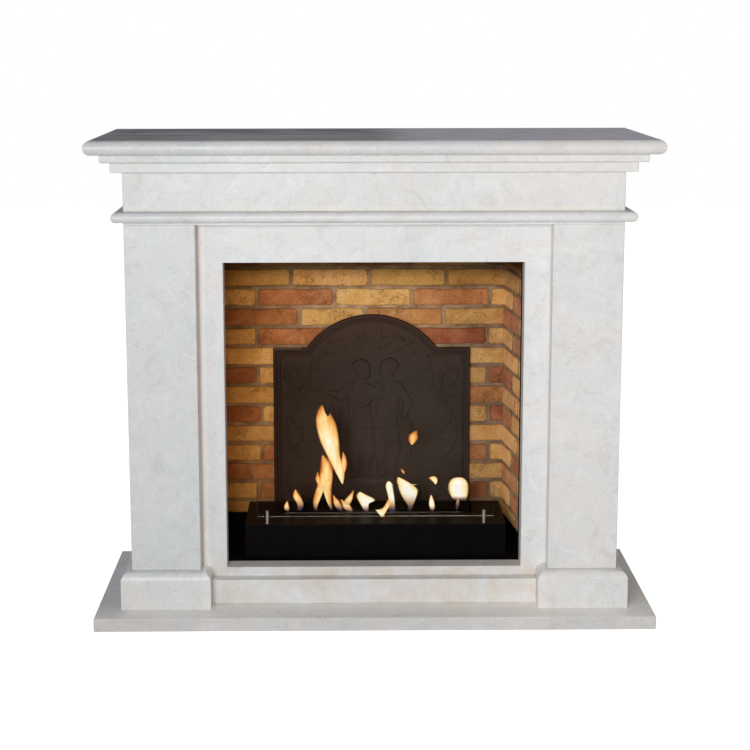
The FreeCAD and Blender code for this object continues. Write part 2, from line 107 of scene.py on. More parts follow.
def ease(low, high, value):
    """Smooth step: 0 below low, 1 above high, with no kink between."""
    share = np.clip((value - low) / (high - low), 0.0, 1.0)
    return share * share * (3.0 - 2.0 * share)


# %% [markdown]
# A finish is a small net of shader nodes. These helpers add a node, set its inputs and join sockets,
# so that each finish below reads like a recipe: which pattern, at which size, in which colours.

# %% Helpers for finishes
def join(tree, value, socket):
    """Links an output to a socket, or sets a constant on it; a colour gets its alpha."""
    if hasattr(value, "is_output"):
        tree.links.new(value, socket)
    else:
        socket.default_value = (*value, 1.0) if socket.type == "RGBA" else value


def add_node(tree, kind, **settings):
    """Adds a node; settings with a capital letter are inputs, the rest are the node's own options."""
    made = tree.nodes.new("ShaderNode" + kind)
    for key, value in settings.items():
        if key[0].isupper():
            join(tree, value, made.inputs[key.replace("_", " ")])
        else:
            setattr(made, key, value)
    return made


def math_node(tree, how, first, second):
    """One sum on two numbers."""
    made = add_node(tree, "Math", operation=how)
    join(tree, first, made.inputs[0])
    join(tree, second, made.inputs[1])
    return made.outputs["Value"]


class Finish:
    """A material and the steps of its recipe: each step adds nodes and gives the output of the last one."""

    def __init__(self, name):
        self.material = bpy.data.materials.new(name)
        self.material.use_nodes = True
        self.tree = self.material.node_tree
        self.shader = self.tree.nodes["Principled BSDF"]
        self.at = self.add("TexCoord").outputs["Object"]
        self.x, self.y, self.z = self.add("SeparateXYZ", Vector=self.at).outputs

    def add(self, kind, **settings):
        """Adds a node to this finish."""
        return add_node(self.tree, kind, **settings)

    def set(self, **values):
        """Puts values on the sockets of the main shader."""
        for key, value in values.items():
            join(self.tree, value, self.shader.inputs[key.replace("_", " ")])

    def sum(self, how, first, second=0.0):
        """One sum on one or two numbers."""
        return math_node(self.tree, how, first, second)

    def times(self, first, *others):
        """Product of some numbers."""
        for other in others:
            first = self.sum("MULTIPLY", first, other)
        return first

    def read(self, name):
        """A number that a piece stores on its points."""
        return self.add("Attribute", attribute_name=name).outputs["Fac"]

    def scaled(self, scale):
        """The piece's own metres, scaled along each axis."""
        return self.add("Mapping", Vector=self.at, Scale=scale).outputs[0]

    def noise(self, scale, detail=4.0, rough=0.55, warp=0.0, where=None):
        """Cloudy pattern, as a number near 0.5, in the piece's own metres or in other coordinates."""
        made = self.add("TexNoise", Vector=self.at if where is None else where, Scale=scale, Detail=detail,
                        Roughness=rough, Distortion=warp)
        return made.outputs["Fac"]

    def spots(self, scale, where):
        """Distance to the nearest of many scattered points."""
        return self.add("TexVoronoi", Vector=where, Scale=scale, Randomness=1.0).outputs["Distance"]

    def stretch(self, value, low, high, to_low=0.0, to_high=1.0):
        """Maps a range of a number to another range, held at both ends."""
        made = self.add("MapRange", Value=value, From_Min=low, From_Max=high, To_Min=to_low, To_Max=to_high)
        return made.outputs["Result"]

    def zone(self, *limits):
        """Share that is 1 in one place: a product of soft limits, each an axis and where it turns 0 and 1."""
        return self.times(*[self.stretch(getattr(self, axis), *ends) for axis, *ends in limits])

    def ramp(self, value, *stops):
        """Turns a number into a colour by (place, colour) stops."""
        made = self.add("ValToRGB", Fac=value)
        made.color_ramp.elements.remove(made.color_ramp.elements[1])
        made.color_ramp.elements[0].position = stops[0][0]
        made.color_ramp.elements[0].color = (*stops[0][1], 1.0)
        for place, colour in stops[1:]:
            made.color_ramp.elements.new(place).color = (*colour, 1.0)
        return made.outputs["Color"]

    def mix(self, share, first, second, how="MIX"):
        """Mixes two colours by a share."""
        made = self.add("Mix", data_type="RGBA", blend_type=how)
        for index, value in ((0, share), (6, first), (7, second)):
            join(self.tree, value, made.inputs[index])
        return made.outputs[2]

    def tone(self, share, colour, tint):
        """Multiplies a colour by a tint where the share is 1."""
        return self.mix(share, colour, self.mix(1.0, colour, tint, "MULTIPLY"))

    def tones(self, colour, table):
        """Tones a colour by a table of places, each with its soft limits and its tint."""
        for limits, tint in table.values():
            colour = self.tone(self.zone(*limits), colour, tint)
        return colour

    def dim(self, colour, share):
        """Multiplies a colour by a grey share."""
        grey = self.add("CombineColor", Red=share, Green=share, Blue=share).outputs[0]
        return self.mix(1.0, colour, grey, "MULTIPLY")

    def speckle(self, share, colour, grain, low, dark, high):
        """Darkens a colour where its grain is low."""
        return self.mix(share, colour, self.ramp(grain, (low, dark), (high, (1.0, 1.0, 1.0))), "MULTIPLY")

    def bump(self, height, strength, distance):
        """Small relief on the surface from a number."""
        made = self.add("Bump", Height=height, Strength=strength, Distance=distance)
        self.set(Normal=made.outputs["Normal"])


def dress(finish, *pieces):
    """Gives a finish to objects, in place of what they wore."""
    for piece in pieces:
        piece.data.materials.clear()
        piece.data.materials.append(finish.material)


# %% [markdown]
# The mantel is pale honed limestone. Up close it is a cool off-white with warm clouds, small paler
# shell patches, a fine grain and a few dark pits. Each of those is one pattern at its own size, mixed
# one over the other. The patterns read the piece's own metres, so they run on from stone to stone at
# the same scale. Over them go tones by place, and a table says where: soft limits along the axes, then
# the tint. Most of these tones are painted light and shade: painted light on the slab top, a painted
# shadow on the slab's left end, painted shade on the left side and painted light on the right, painted
# light on the step by the left post and on the cheek of the left plinth, painted shade in the joint over
# the lintel, and a darker left of the shelf top under its painted reflection. The rest lighten or darken
# single stones. A brown painted shade on the cheek beside the left post and a streaked painted reflection
# on the shelf top come from masks of their own.

# %% Stone finish
SLAB_TOP = (("z", 0.0290, 0.0296), ("z", 0.0306, 0.0302))
SHELF_TOP = ("z", 1.0725, 1.0735)
STEP_BACK = ("y", -0.130, -0.125)
STONE_TONES = {
    # Painted light: the slab top is lighter than the lamp makes it.
    "slab top, painted light": (SLAB_TOP, (1.19, 1.17, 1.14)),
    # Painted shadow: the slab top left of the plinth is darker and bluer, most at the back.
    "slab left end, painted shadow": ((*SLAB_TOP, ("x", -0.545, -0.560), ("y", -0.225, -0.165, 0.25, 1.0)),
                      (0.80, 0.83, 0.94)),
    "slab front": ([("y", -0.2442, -0.2446)], (0.86, 0.84, 0.83)),
    "shelf": ([("z", 1.043, 1.045)], (0.955, 0.945, 0.945)),
    # Painted shade: the stone left of the opening is a little darker above the plinth.
    "left side, painted shade": ([("x", -0.30, -0.40), ("z", 0.112, 0.120)], (0.940, 0.948, 0.955)),
    # Painted light: the stone grows lighter towards the right.
    "right side": ([("x", 0.10, 0.45)], (1.10, 1.085, 1.075)),
    "foot of the frieze": ([("z", 0.9185, 0.9195), ("z", 0.932, 0.926)], (1.09, 1.07, 1.02)),
    # Painted light: the stile beside the step of the left post is lightened where the post's shadow falls.
    "step by the left post, painted light": ([("x", -0.3845, -0.3835), ("x", -0.371, -0.380), STEP_BACK,
                               ("z", 0.102, 0.108), ("z", 0.8895, 0.8885)], (1.36, 1.33, 1.31)),
    # Painted light: the shaded inner cheek of the left plinth is lightened.
    "cheek of the left plinth, painted light": ([("x", -0.386, -0.380), ("x", -0.3640, -0.3645), ("y", -0.1850, -0.1700),
                                  ("y", -0.1190, -0.1210), ("z", 0.1150, 0.1142)], (1.30, 1.24, 1.19)),
    # Painted reflection: the left of the shelf top is darker, with the streaked painted reflection on it.
    "shelf top, left": ([SHELF_TOP, ("x", 0.10, 0.04)], (0.92, 0.91, 0.93)),
    "shelf top, right": ([SHELF_TOP, ("x", 0.04, 0.12)], (1.01, 0.98, 1.06)),
    # Dark joint over the lintel, darkened further with painted shade under the bead.
    "joint and painted shade over the lintel": ([("z", 0.8835, 0.8845), ("z", 0.8893, 0.8890), STEP_BACK], (0.86, 0.80, 0.74)),
    "inner frame": ([("off", 0.387, 0.382), ("z", 0.919, 0.917)], (1.05, 1.05, 1.055)),
}
LEFT_CHEEK_X = 0.3858


def cheek_shade_and_stain(net):
    """Shares of two marks by place: brown painted shade on the cheek beside the left post, warm damp on low
    ledges.
    """
    from_cheek = net.sum("ABSOLUTE", net.sum("ADD", net.x, LEFT_CHEEK_X))
    # Painted shade: a narrow brown band on the cheek beside the left post.
    joint = net.times(net.stretch(from_cheek, 0.0028, 0.0018),
                      net.zone(("y", -0.162, -0.161), ("z", 0.100, 0.130), ("z", 0.889, 0.887)))
    cloud = net.stretch(net.noise(14.0, 5.0, 0.65, 0.6), 0.40, 0.66)
    return joint, net.times(net.zone(("z", 0.150, 0.085), ("y", -0.172, -0.140)), cloud)


def painted_reflection(net):
    """Share of the painted reflection on top of the shelf: long dark streaks along it that fade to the right.
    """
    wave = net.stretch(net.noise(9.0, 4.0, 0.6), 0.3, 0.7, -0.0012, 0.0012)
    top = net.stretch(net.sum("ADD", net.z, wave), 1.0710, 1.0738)
    lines = net.noise(1.0, 6.0, 0.68, 0.5, net.scaled((1.7, 10.0, 1.0)))
    streak = net.stretch(lines, 0.42, 0.56, 0.42, 1.0)
    fade = net.stretch(net.sum("ADD", net.x, net.times(streak, 0.10)), 0.06, 0.16, 1.0, 0.08)
    front = net.stretch(net.sum("ADD", net.y, net.times(wave, 8.0)), -0.224, -0.200)
    return net.times(top, front, streak, fade)


def block_tones(net, colour):
    """Tones by place, most of them painted light and shade, and soft lilac patches on the right of the shelf
    top.
    """
    net.off = net.sum("ABSOLUTE", net.x)
    colour = net.tones(colour, STONE_TONES)
    patch = net.stretch(net.noise(13.0, 4.0, 0.6, 0.6), 0.40, 0.60)
    lilac = net.zone(*STONE_TONES["shelf top, right"][0])
    return net.tone(net.times(lilac, patch), colour, (1.16, 1.14, 1.16))


def limestone():
    """Clouds, paler and darker tones, shells, veins, grain, pits, a stain, painted shade and reflection, then
    place tones.
    """
    net = Finish("honed_limestone")
    cloud = net.noise(8.0, 3.0, 0.55, 0.8)
    colour = net.ramp(cloud, (0.34, (0.668, 0.688, 0.676)), (0.46, (0.692, 0.698, 0.694)),
                      (0.56, (0.708, 0.698, 0.680)), (0.68, (0.708, 0.684, 0.656)))
    tone = net.noise(17.0, 8.0, 0.72, 1.4)
    colour = net.mix(net.stretch(tone, 0.53, 0.62, 0.0, 0.70), colour, (0.762, 0.760, 0.752))
    colour = net.mix(net.stretch(tone, 0.46, 0.37, 0.0, 0.60), colour, (0.610, 0.596, 0.576))
    shell = net.noise(48.0, 8.0, 0.80, 3.0)
    colour = net.mix(net.stretch(shell, 0.56, 0.63, 0.0, 0.70), colour, (0.800, 0.797, 0.785))
    vein = net.noise(30.0, 7.0, 0.76, 2.4)
    colour = net.mix(net.stretch(vein, 0.58, 0.66, 0.0, 0.70), colour, (0.575, 0.552, 0.525))
    grain = net.noise(230.0, 4.0, 0.75)
    colour = net.speckle(0.35, colour, grain, 0.34, (0.85, 0.84, 0.83), 0.52)
    sparse = net.stretch(net.noise(24.0, 3.0), 0.57, 0.63)
    pit = net.times(net.stretch(net.spots(120.0, net.at), 0.20, 0.10), sparse)
    colour = net.mix(net.times(pit, 0.65), colour, (0.34, 0.30, 0.26))
    joint, damp = cheek_shade_and_stain(net)
    colour = net.mix(net.times(damp, 0.75), colour, (0.600, 0.520, 0.420))
    # Painted shade: brown on the cheek beside the left post.
    colour = net.mix(joint, colour, (0.800, 0.680, 0.600))
    # Painted reflection: dark streaks over the shelf top, mostly on its left.
    colour = net.mix(net.times(painted_reflection(net), 0.94), colour, (0.128, 0.118, 0.146))
    net.set(Base_Color=block_tones(net, colour), Roughness=net.stretch(cloud, 0.3, 0.7, 0.36, 0.48),
            Specular_IOR_Level=0.5)
    net.bump(net.sum("SUBTRACT", net.times(grain, 0.5), pit), 0.25, 0.0006)
    return net


stone = limestone()
print("stone finish:", len(stone.tree.nodes), "nodes")


# %% [markdown]
# The plain stones are already right in the frame and only take the finish. The moulded stones are made
# again here as stacks of rectangles: each height has an inset, and the inset follows the moulding's
# curve. A stack gives true mitres at the corners with very few faces, and a small bevel softens the
# arris the way a mason's rubbing stone does.

# %% Moulded stones
ARRIS = 0.0016
ARRIS_ANGLE = math.radians(35)
CAP_BORDER = 0.006
NOSE_SAG = 0.010
STEP_ROUND = 0.004
BEAD_H = 0.0225
STRIP_IN = 0.025
OVOLO_R = 0.020


def stone_stack(node, heights, insets, sides):
    """Closed stack of rectangles inside a node's box: at each height the named sides move in by the inset.

    A narrow flat border round both caps keeps the soft arris from bending the light over the whole cap.
    """
    low, high = corners_of(node)
    heights = np.concatenate([heights[:1], heights, heights[-1:]])
    insets = np.concatenate([insets[:1], insets, insets[-1:]])
    zero = np.zeros_like(insets)
    border = np.zeros_like(insets)
    border[[0, -1]] = CAP_BORDER
    left = low[0] + border + (insets if "l" in sides else zero)
    right = high[0] - border - (insets if "r" in sides else zero)
    front = low[1] + border + (insets if "f" in sides else zero)
    back = high[1] - border
    rings = [(left, front), (right, front), (right, back), (left, back)]
    points = np.stack([np.stack([x, y, heights], -1) for x, y in rings], 1).reshape(-1, 3)
    rows = len(heights)
    caps = np.array([[3, 2, 1, 0], [4 * rows - 4, 4 * rows - 3, 4 * rows - 2, 4 * rows - 1]])
    piece = add_piece(node + "_stone", points, [grid_faces(rows, 4, wrap=True), caps], "mantel")
    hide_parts(node)
    soften = piece.modifiers.new("arris", "BEVEL")
    soften.width = ARRIS
    soften.segments = 2
    soften.limit_method = "ANGLE"
    soften.angle_limit = ARRIS_ANGLE
    soften.harden_normals = True
    dress(stone, piece)


def arc_inset(radius, steps, start, end):
    """Heights and insets of a round nose: the inset is the radius less its cosine, between two angles."""
    angle = np.linspace(math.radians(start), math.radians(end), steps)
    return radius * np.sin(angle), radius * (1.0 - np.cos(angle))


# Shelf: a flattened bullnose is a short arc through the two arrises, deepest in the middle
low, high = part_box("mantel_shelf")
half_t = (high[2] - low[2]) / 2
nose_r = (half_t ** 2 + NOSE_SAG ** 2) / (2 * NOSE_SAG)
nose_turn = math.degrees(math.asin(half_t / nose_r))
rise, inset = arc_inset(nose_r, 15, -nose_turn, nose_turn)
stone_stack("mantel_shelf", low[2] + half_t + rise, inset, "lfr")

# Upper cornice: only its lower arris is round
low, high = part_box("cornice_upper")
rise, inset = arc_inset(STEP_ROUND, 6, -90, 0)
stone_stack("cornice_upper", np.append(low[2] + STEP_ROUND + rise, high[2]), np.append(inset, 0.0), "lfr")

# Bead course: a thin flat strip set back, then a half-round nose
low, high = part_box("bead_course")
bead_r = BEAD_H / 2
strip_top = high[2] - BEAD_H
rise, inset = arc_inset(bead_r, 17, -90, 90)
stone_stack("bead_course", np.concatenate([[low[2], strip_top], strip_top + bead_r + rise]),
            np.concatenate([[STRIP_IN, STRIP_IN], inset]), "lfr")

# Plinths: upright, then an ovolo shoulder and a narrow flat
rise, inset = arc_inset(OVOLO_R, 10, 0, 90)
for side in ("left", "right"):
    low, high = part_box("plinth_" + side)
    shoulder = np.concatenate([[low[2]], high[2] - OVOLO_R + rise])
    shoulder_in = np.concatenate([[0.0], inset])
    stone_stack("plinth_" + side, shoulder, shoulder_in, "lfr")
    stone_stack("plinth_return_" + side, shoulder, shoulder_in, side[0])

# Plain blocks that show a free arris
for node in ("hearth_slab", "cornice_lower", "frieze_front", "pilaster_left", "pilaster_right", "base_rail"):
    low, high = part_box(node)
    stone_stack(node, np.array([low[2], high[2]]), np.zeros(2), "")

plain_stones = ["side_panel_left", "side_panel_right", "frieze_return_left", "frieze_return_right",
                "frame_sill", "frame_stile_left", "frame_stile_right", "frame_lintel"]
dress(stone, *[nodes[name] for name in plain_stones])


# %% [markdown]
# The lining is tumbled brick slips in a running bond: ochre and red-brown clay, with round worn corners
# and grey-brown joints. The bond is a rule, not a list: courses of one height, and every other course
# shifted. Each slip is a few rings of a rounded rectangle that climb from the mortar and turn over the
# edge, and a seeded wobble keeps two slips from being the same.

# %% Brick bond
# In metres: course, slip with its joint, joint, height of one bed joint, shortest slip, reach round a corner
COURSE = 0.04785
MODULE = 0.1865
JOINT = 0.007
JOINT_Z = 0.5059
SHORTEST = 0.012
TINY = 1e-6
OVERRUN = 0.014
WALL_Y = 0.245
lining_low, lining_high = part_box("brick_slips_back")
z_low, z_high = lining_low[2], lining_high[2]
right_low, right_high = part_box("brick_slips_right")
left_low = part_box("brick_slips_left")[0]


def bond(start, end, even, odd, shifts):
    """Running bond between two ends of a wall: course number, low, high, start and end of each slip."""
    first = math.floor((z_low - JOINT_Z) / COURSE)
    last = math.ceil((z_high - JOINT_Z) / COURSE)
    course, step = np.meshgrid(np.arange(first, last), np.arange(-3, 4), indexing="ij")
    joint = np.where(course % 2 == 0, even, odd) + step * MODULE
    next_joint = joint + MODULE
    for (row, number), shift in shifts.items():
        joint = joint + np.where((course == row) & (step == number), shift, 0.0)
        next_joint = next_joint + np.where((course == row) & (step + 1 == number), shift, 0.0)
    low = np.maximum(JOINT_Z + course * COURSE + JOINT / 2, z_low)
    high = np.minimum(JOINT_Z + (course + 1) * COURSE - JOINT / 2, z_high)
    near = joint + JOINT / 2
    far = next_joint - JOINT / 2
    shown = np.minimum(far, end) - np.maximum(near, start)
    near = np.maximum(near, start - OVERRUN)
    far = np.minimum(far, end + OVERRUN)
    kept = (high - low >= SHORTEST - TINY) & (shown >= SHORTEST - TINY)
    return course[kept], low[kept], high[kept], near[kept], far[kept]


def wall_places():
    """For each wall: its two ends, and the function that puts (along, up, proud) on the wall in metres."""
    board_y, face_y = lining_high[1], lining_low[1]
    thick = board_y - face_y
    depth = (WALL_Y - right_high[1], WALL_Y - right_low[1])
    front_x = right_high[0] - thick
    back_x = right_low[0]

    def on_back(along, up, proud):
        return np.stack([along, board_y - thick * proud, up], -1)

    def on_right(along, up, proud):
        face_x = back_x + (front_x - back_x) * (along - depth[0]) / (depth[1] - depth[0])
        return np.stack([face_x + thick * (1.0 - proud), WALL_Y - along, up], -1)

    def on_left(along, up, proud):
        return np.stack([left_low[0] + thick * proud, WALL_Y - along, up], -1)

    ends = (lining_low[0], lining_high[0])
    return {"back": (*ends, on_back), "right": (*depth, on_right), "left": (*depth, on_left)}


walls = wall_places()
print("courses from", z_low, "to", z_high)


# %% [markdown]
# One slip is described once, as a ring of points: which corner a point belongs to, and its direction on
# that corner's arc. The ring is then stretched to every slip at once, because numpy can multiply all
# slips by all ring points in a single line. The clay of each slip is chosen by course, left to right:
# o for ochre, b for brown, r for red-brown, p for a paler slip with lime bloom.

# %% Brick slips
CORNER_R = 0.0085
CORNER_LEAST = 0.0006
RING_IN = np.array([0.0, 0.0003, 0.0011, 0.0028, 0.0062])
RING_UP = np.array([0.0, 0.66, 0.90, 0.98, 1.0])
# Waves round a slip's outline: how many on one lap, and how high
WOBBLES = ((2, 0.0008), (5, 0.0007), (9, 0.0004))
WOBBLE_MOST = 0.0012
back_clay = {6: "ororo", 5: "roror", 4: "opoo", 3: "orobo", 2: "robo", 1: "ororo", 0: "oroo", -1: "roror",
             -2: "orob", -3: "rooor", -4: "oroo", -5: "orrro", -6: "roro", -7: "ororo", -8: "oroo"}
side_clay = {6: "or", 5: "ro", 4: "oo", 3: "or", 2: "ro", 1: "or", 0: "oo", -1: "ro", -2: "oo", -3: "ro",
             -4: "oo", -5: "or", -6: "ro", -7: "or", -8: "oo"}
CLAY = {"o": 0.0, "p": 0.22, "b": 0.74, "r": 1.0}


def slip_ring():
    """Ring of a rounded rectangle: each point's corner, as signs, and its direction on that corner's arc."""
    arc = np.radians([0, 30, 60, 90])
    along = np.array([0.6, 0.2, -0.2, -0.6])
    top = np.full(4, math.pi / 2)
    sign_x = np.concatenate([[1] * 4, along, [-1] * 4, [-1] * 4, -along, [1] * 4])
    sign_z = np.concatenate([[1] * 12, [-1] * 12])
    angle = np.concatenate([arc, top, arc + math.pi / 2, arc + math.pi, top + math.pi, arc + 1.5 * math.pi])
    return sign_x, sign_z, np.cos(angle), np.sin(angle)


def brick_slips(side, even, odd, shifts, clay, lift, seed):
    """All slips of one wall: ring point = corner place plus shrinking corner radius, raised ring by ring."""
    start, end, to_wall = walls[side]
    course, low, high, near, far = bond(start, end, even, odd, shifts)
    rng = np.random.default_rng(seed)
    count = len(course)
    sign_x, sign_z, cos_a, sin_a = slip_ring()
    around = len(sign_x)
    half_l = ((far - near) / 2)[:, None, None]
    half_h = ((high - low) / 2)[:, None, None]
    most = np.minimum(half_l, half_h) * 0.85
    radius = np.minimum(CORNER_R * rng.uniform(0.75, 1.25, (count, 1, 1)), most)
    shrink = np.maximum(radius - RING_IN[None, :, None], CORNER_LEAST)
    phase = rng.uniform(0, 2 * math.pi, (3, count, 1))
    lap = np.linspace(0, 2 * math.pi, around, endpoint=False)[None, :]
    wobble = sum(size * np.sin(waves * lap + start_at) for (waves, size), start_at in zip(WOBBLES, phase))
    grow = shrink + np.minimum(wobble, WOBBLE_MOST)[:, None, :]
    along = ((near + far) / 2)[:, None, None] + sign_x * (half_l - radius) + grow * cos_a
    upward = ((low + high) / 2)[:, None, None] + sign_z * (half_h - radius) + grow * sin_a
    proud = RING_UP[None, :, None] * rng.uniform(0.90, 1.0, (count, 1, 1)) + np.zeros_like(along)
    proud = proud * (1.0 - 0.05 * rng.uniform(0, 1, (count, 1, 1)) * (1 + cos_a) / 2)
    points = to_wall(np.clip(along, start, end), np.clip(upward, z_low, z_high), proud).reshape(-1, 3)
    rings = len(RING_IN)
    per_slip = rings * around
    shift = (np.arange(count) * per_slip)[:, None, None]
    sides = (grid_faces(rings, around, wrap=True)[None] + shift).reshape(-1, 4)
    caps = ((rings - 1) * around + np.arange(around)[None, None, :] + shift).reshape(-1, around)
    if side == "left":
        sides, caps = sides[:, ::-1], caps[:, ::-1]
    piece = add_piece("brick_faces_" + side, points, [sides, caps], "mantel")
    rank = np.array([np.sum((course == number) & (near < place)) for number, place in zip(course, near)])
    rows = [clay[int(number)] for number in course]
    letters = [row[int(place) % len(row)] for row, place in zip(rows, rank)]
    tint = np.array([CLAY[letter] for letter in letters])
    tint = np.clip(tint + rng.uniform(-0.02, 0.12, count) * np.where(tint > 0.5, -2.4, 1.0), 0.0, 1.0)
    bloom = np.array([1.0 if letter == "p" else 0.0 for letter in letters])
    lot = rng.uniform(0, 1, count)
    add_values(piece, clay=np.repeat(tint, per_slip), bloom=np.repeat(bloom, per_slip),
               lot=np.repeat(lot, per_slip), lift=np.full(count * per_slip, lift),
               worn=np.tile(np.repeat(np.linspace(0, 1, rings), around), count))
    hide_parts("brick_slips_" + side)
    return piece


# Upright joints that stand off the bond: course and number of the joint, and how far
joint_shifts = {(2, -1): 0.019, (2, 0): -0.009, (2, 1): -0.007, (1, 1): -0.006, (-1, 1): -0.004,
                (-3, -2): 0.009, (-5, -2): 0.008}
back_slips = brick_slips("back", -0.006, 0.098, joint_shifts, back_clay, 0.0, 11)
# The right wall's slips take lift 1.0, which paints light onto them in the clay finish.
right_slips = brick_slips("right", 0.198, 0.137, {}, side_clay, 1.0, 12)
left_slips = brick_slips("left", 0.198, 0.137, {}, side_clay, 0.0, 13)


# %% [markdown]
# The clay finish reads five numbers that the slips store. One mixes ochre into red-brown, one adds lime
# bloom, one paints light onto the right wall, one moves the cloud pattern so that no two slips share a
# stain, and the last darkens the worn edge, with painted shade where the slip turns down into the mortar.
# Sandy grain and small kiln cracks go into the colour and the bump. Last come painted light in the upper
# middle of the lining and painted shade to the left, low on the right and under the head.

# %% Brick finish
# Painted shade on the lining by place: soft limits along the axes, then the tint.
LINING_PAINTED_SHADE = {
    "painted shadow to the left, warm": ([("x", -0.12, -0.33)], (1.10, 0.86, 0.55)),
    "painted shade low on the right, cool": ([("x", 0.18, 0.24), ("z", 0.66, 0.55), ("y", 0.190, 0.200)],
                              (0.76, 0.79, 0.87)),
    "painted shadow on the top course": ([("z", 0.694, 0.700)], (0.72, 0.70, 0.64)),
    "painted shadow under the head, nearly black": ([("z", 0.718, 0.766)], (0.13, 0.10, 0.06)),
}
PAINTED_LIGHT_X = 0.01


def painted_light_and_shade(net, colour, lit):
    """Painted light and shade of the lining: painted light in the upper middle, then the painted shade of its
    table.
    """
    net.off = net.sum("ABSOLUTE", net.sum("SUBTRACT", net.x, PAINTED_LIGHT_X))
    # Painted light: the lining is lightened in its upper middle by the lit tint.
    colour = net.tone(net.zone(("off", 0.23, 0.10), ("z", 0.54, 0.62)), colour, lit)
    return net.tones(colour, LINING_PAINTED_SHADE)


def fired_clay():
    """Ochre and red clay with sand, pores and cracks, a dark worn edge with painted shade, lime flecks and
    painted light.
    """
    net = Finish("tumbled_brick")
    lot = net.read("lot")
    shifted = net.add("VectorMath", operation="ADD")
    join(net.tree, net.at, shifted.inputs[0])
    join(net.tree, net.add("CombineXYZ", X=lot, Y=lot, Z=lot).outputs[0], shifted.inputs[1])
    own = shifted.outputs[0]
    stain = net.noise(24.0, 6.0, 0.60, 0.4, own)
    ochre = net.ramp(stain, (0.28, (0.530, 0.262, 0.072)), (0.48, (0.660, 0.360, 0.110)),
                     (0.66, (0.740, 0.440, 0.165)))
    red = net.ramp(stain, (0.28, (0.225, 0.064, 0.026)), (0.50, (0.345, 0.104, 0.044)),
                   (0.70, (0.450, 0.170, 0.076)))
    bloom = net.read("bloom")
    colour = net.mix(net.read("clay"), ochre, red)
    colour = net.dim(colour, net.stretch(lot, 0.0, 1.0, 1.02, 1.32))
    colour = net.dim(colour, net.stretch(bloom, 0.0, 1.0, 1.0, 1.80))
    # Painted light: where lift is 1, on the right wall, the clay is lifted far above its own colour.
    pale = net.mix(0.18, net.mix(1.0, colour, (1.66, 1.66, 1.84), "MULTIPLY"), (0.880, 0.620, 0.400))
    colour = net.mix(net.read("lift"), colour, pale)
    sand = net.noise(300.0, 4.0, 0.75)
    colour = net.speckle(0.70, colour, sand, 0.36, (0.46, 0.40, 0.35), 0.53)
    pocked = net.stretch(net.noise(34.0, 3.0, 0.6, where=own), 0.50, 0.62)
    hole = net.times(net.stretch(net.spots(125.0, own), 0.26, 0.14), pocked)
    wander = net.noise(42.0, 6.0, 0.72, 1.2, own)
    crack = net.sum("ABSOLUTE", net.sum("SUBTRACT", wander, 0.5))
    cracked = net.stretch(net.noise(21.0, 2.0), 0.54, 0.62)
    flaw = net.sum("MAXIMUM", net.times(net.stretch(crack, 0.012, 0.002), cracked), hole)
    colour = net.mix(net.times(flaw, 0.62), colour, (0.085, 0.036, 0.016))
    # Darker worn edge, with painted shade where the slip turns down into the mortar.
    colour = net.dim(colour, net.stretch(net.read("worn"), 0.15, 0.90, 0.55, 1.0))
    fleck = net.stretch(net.noise(240.0, 4.0, 0.7, 0.4), 0.54, 0.62)
    patch = net.stretch(net.noise(26.0, 3.0, 0.6), 0.44, 0.60)
    colour = net.mix(net.times(bloom, fleck, patch), colour, (0.86, 0.72, 0.55))
    # The lining's painted light and shade, with the tint of its painted light.
    net.set(Base_Color=painted_light_and_shade(net, colour, (1.12, 1.13, 1.13)), Roughness=0.9, Specular_IOR_Level=0.12)
    relief = net.sum("ADD", net.times(sand, 0.5), stain)
    net.bump(net.sum("SUBTRACT", relief, flaw), 0.7, 0.0018)
    return net


clay = fired_clay()
dress(clay, back_slips, right_slips, left_slips)
print("brick finish:", len(clay.tree.nodes), "nodes")


# %% [markdown]
# Mortar is pressed between the slips and struck back a little. A flat board would show as a clean plane,
# so the bed is a sheet on a fine grid whose depth is a sum of a few waves, and its finish adds the sand.

# %% Mortar beds
BED_SHARE = 0.62
RIGHT_BED_SHARE = 0.78
BED_UNEVEN = 0.10
BED_COLS, BED_ROWS = 140, 150
PALE_LIFT = 1.35
MORTAR_TONES = ((0.32, (0.215, 0.128, 0.068)), (0.52, (0.355, 0.224, 0.128)), (0.70, (0.485, 0.320, 0.190)))


def lifted(stops, lift):
    """Colour stops with every tone multiplied by a lift."""
    return [(place, tuple(lift * part for part in colour)) for place, colour in stops]


def uneven(first, second):
    """Gentle unevenness between -1 and 1: three crossed waves of different length."""
    return (np.sin(first * 61 + 1.7 * np.sin(second * 47)) + np.sin(second * 83 + 1.3 * np.sin(first * 39)) +
            np.sin((first + second) * 127)) / 3


def mortar_bed(side, share):
    """Sheet over a wall: depth is a fixed share of the slip's height plus a small unevenness."""
    start, end, to_wall = walls[side]
    along, upward = np.meshgrid(np.linspace(start, end, BED_COLS), np.linspace(z_low, z_high, BED_ROWS))
    points = to_wall(along, upward, share + BED_UNEVEN * uneven(along, upward)).reshape(-1, 3)
    faces = grid_faces(BED_ROWS, BED_COLS)
    if side == "left":
        faces = faces[:, ::-1]
    return add_piece("mortar_bed_" + side, points, [faces], "mantel")


def mortar_finish(name, lift):
    """Sandy lime mortar; the lift lightens all its tones, and the lining's painted light and shade go on top.
    """
    net = Finish(name)
    colour = net.ramp(net.noise(26.0, 5.0, 0.6), *lifted(MORTAR_TONES, lift))
    sand = net.noise(380.0, 3.0, 0.7)
    colour = net.speckle(0.5, colour, sand, 0.30, (0.55, 0.53, 0.51), 0.68)
    # The lining's painted light and shade, with a stronger tint of painted light on the mortar.
    net.set(Base_Color=painted_light_and_shade(net, colour, (1.58, 1.52, 1.46)), Roughness=0.95, Specular_IOR_Level=0.1)
    net.bump(sand, 0.7, 0.0015)
    return net


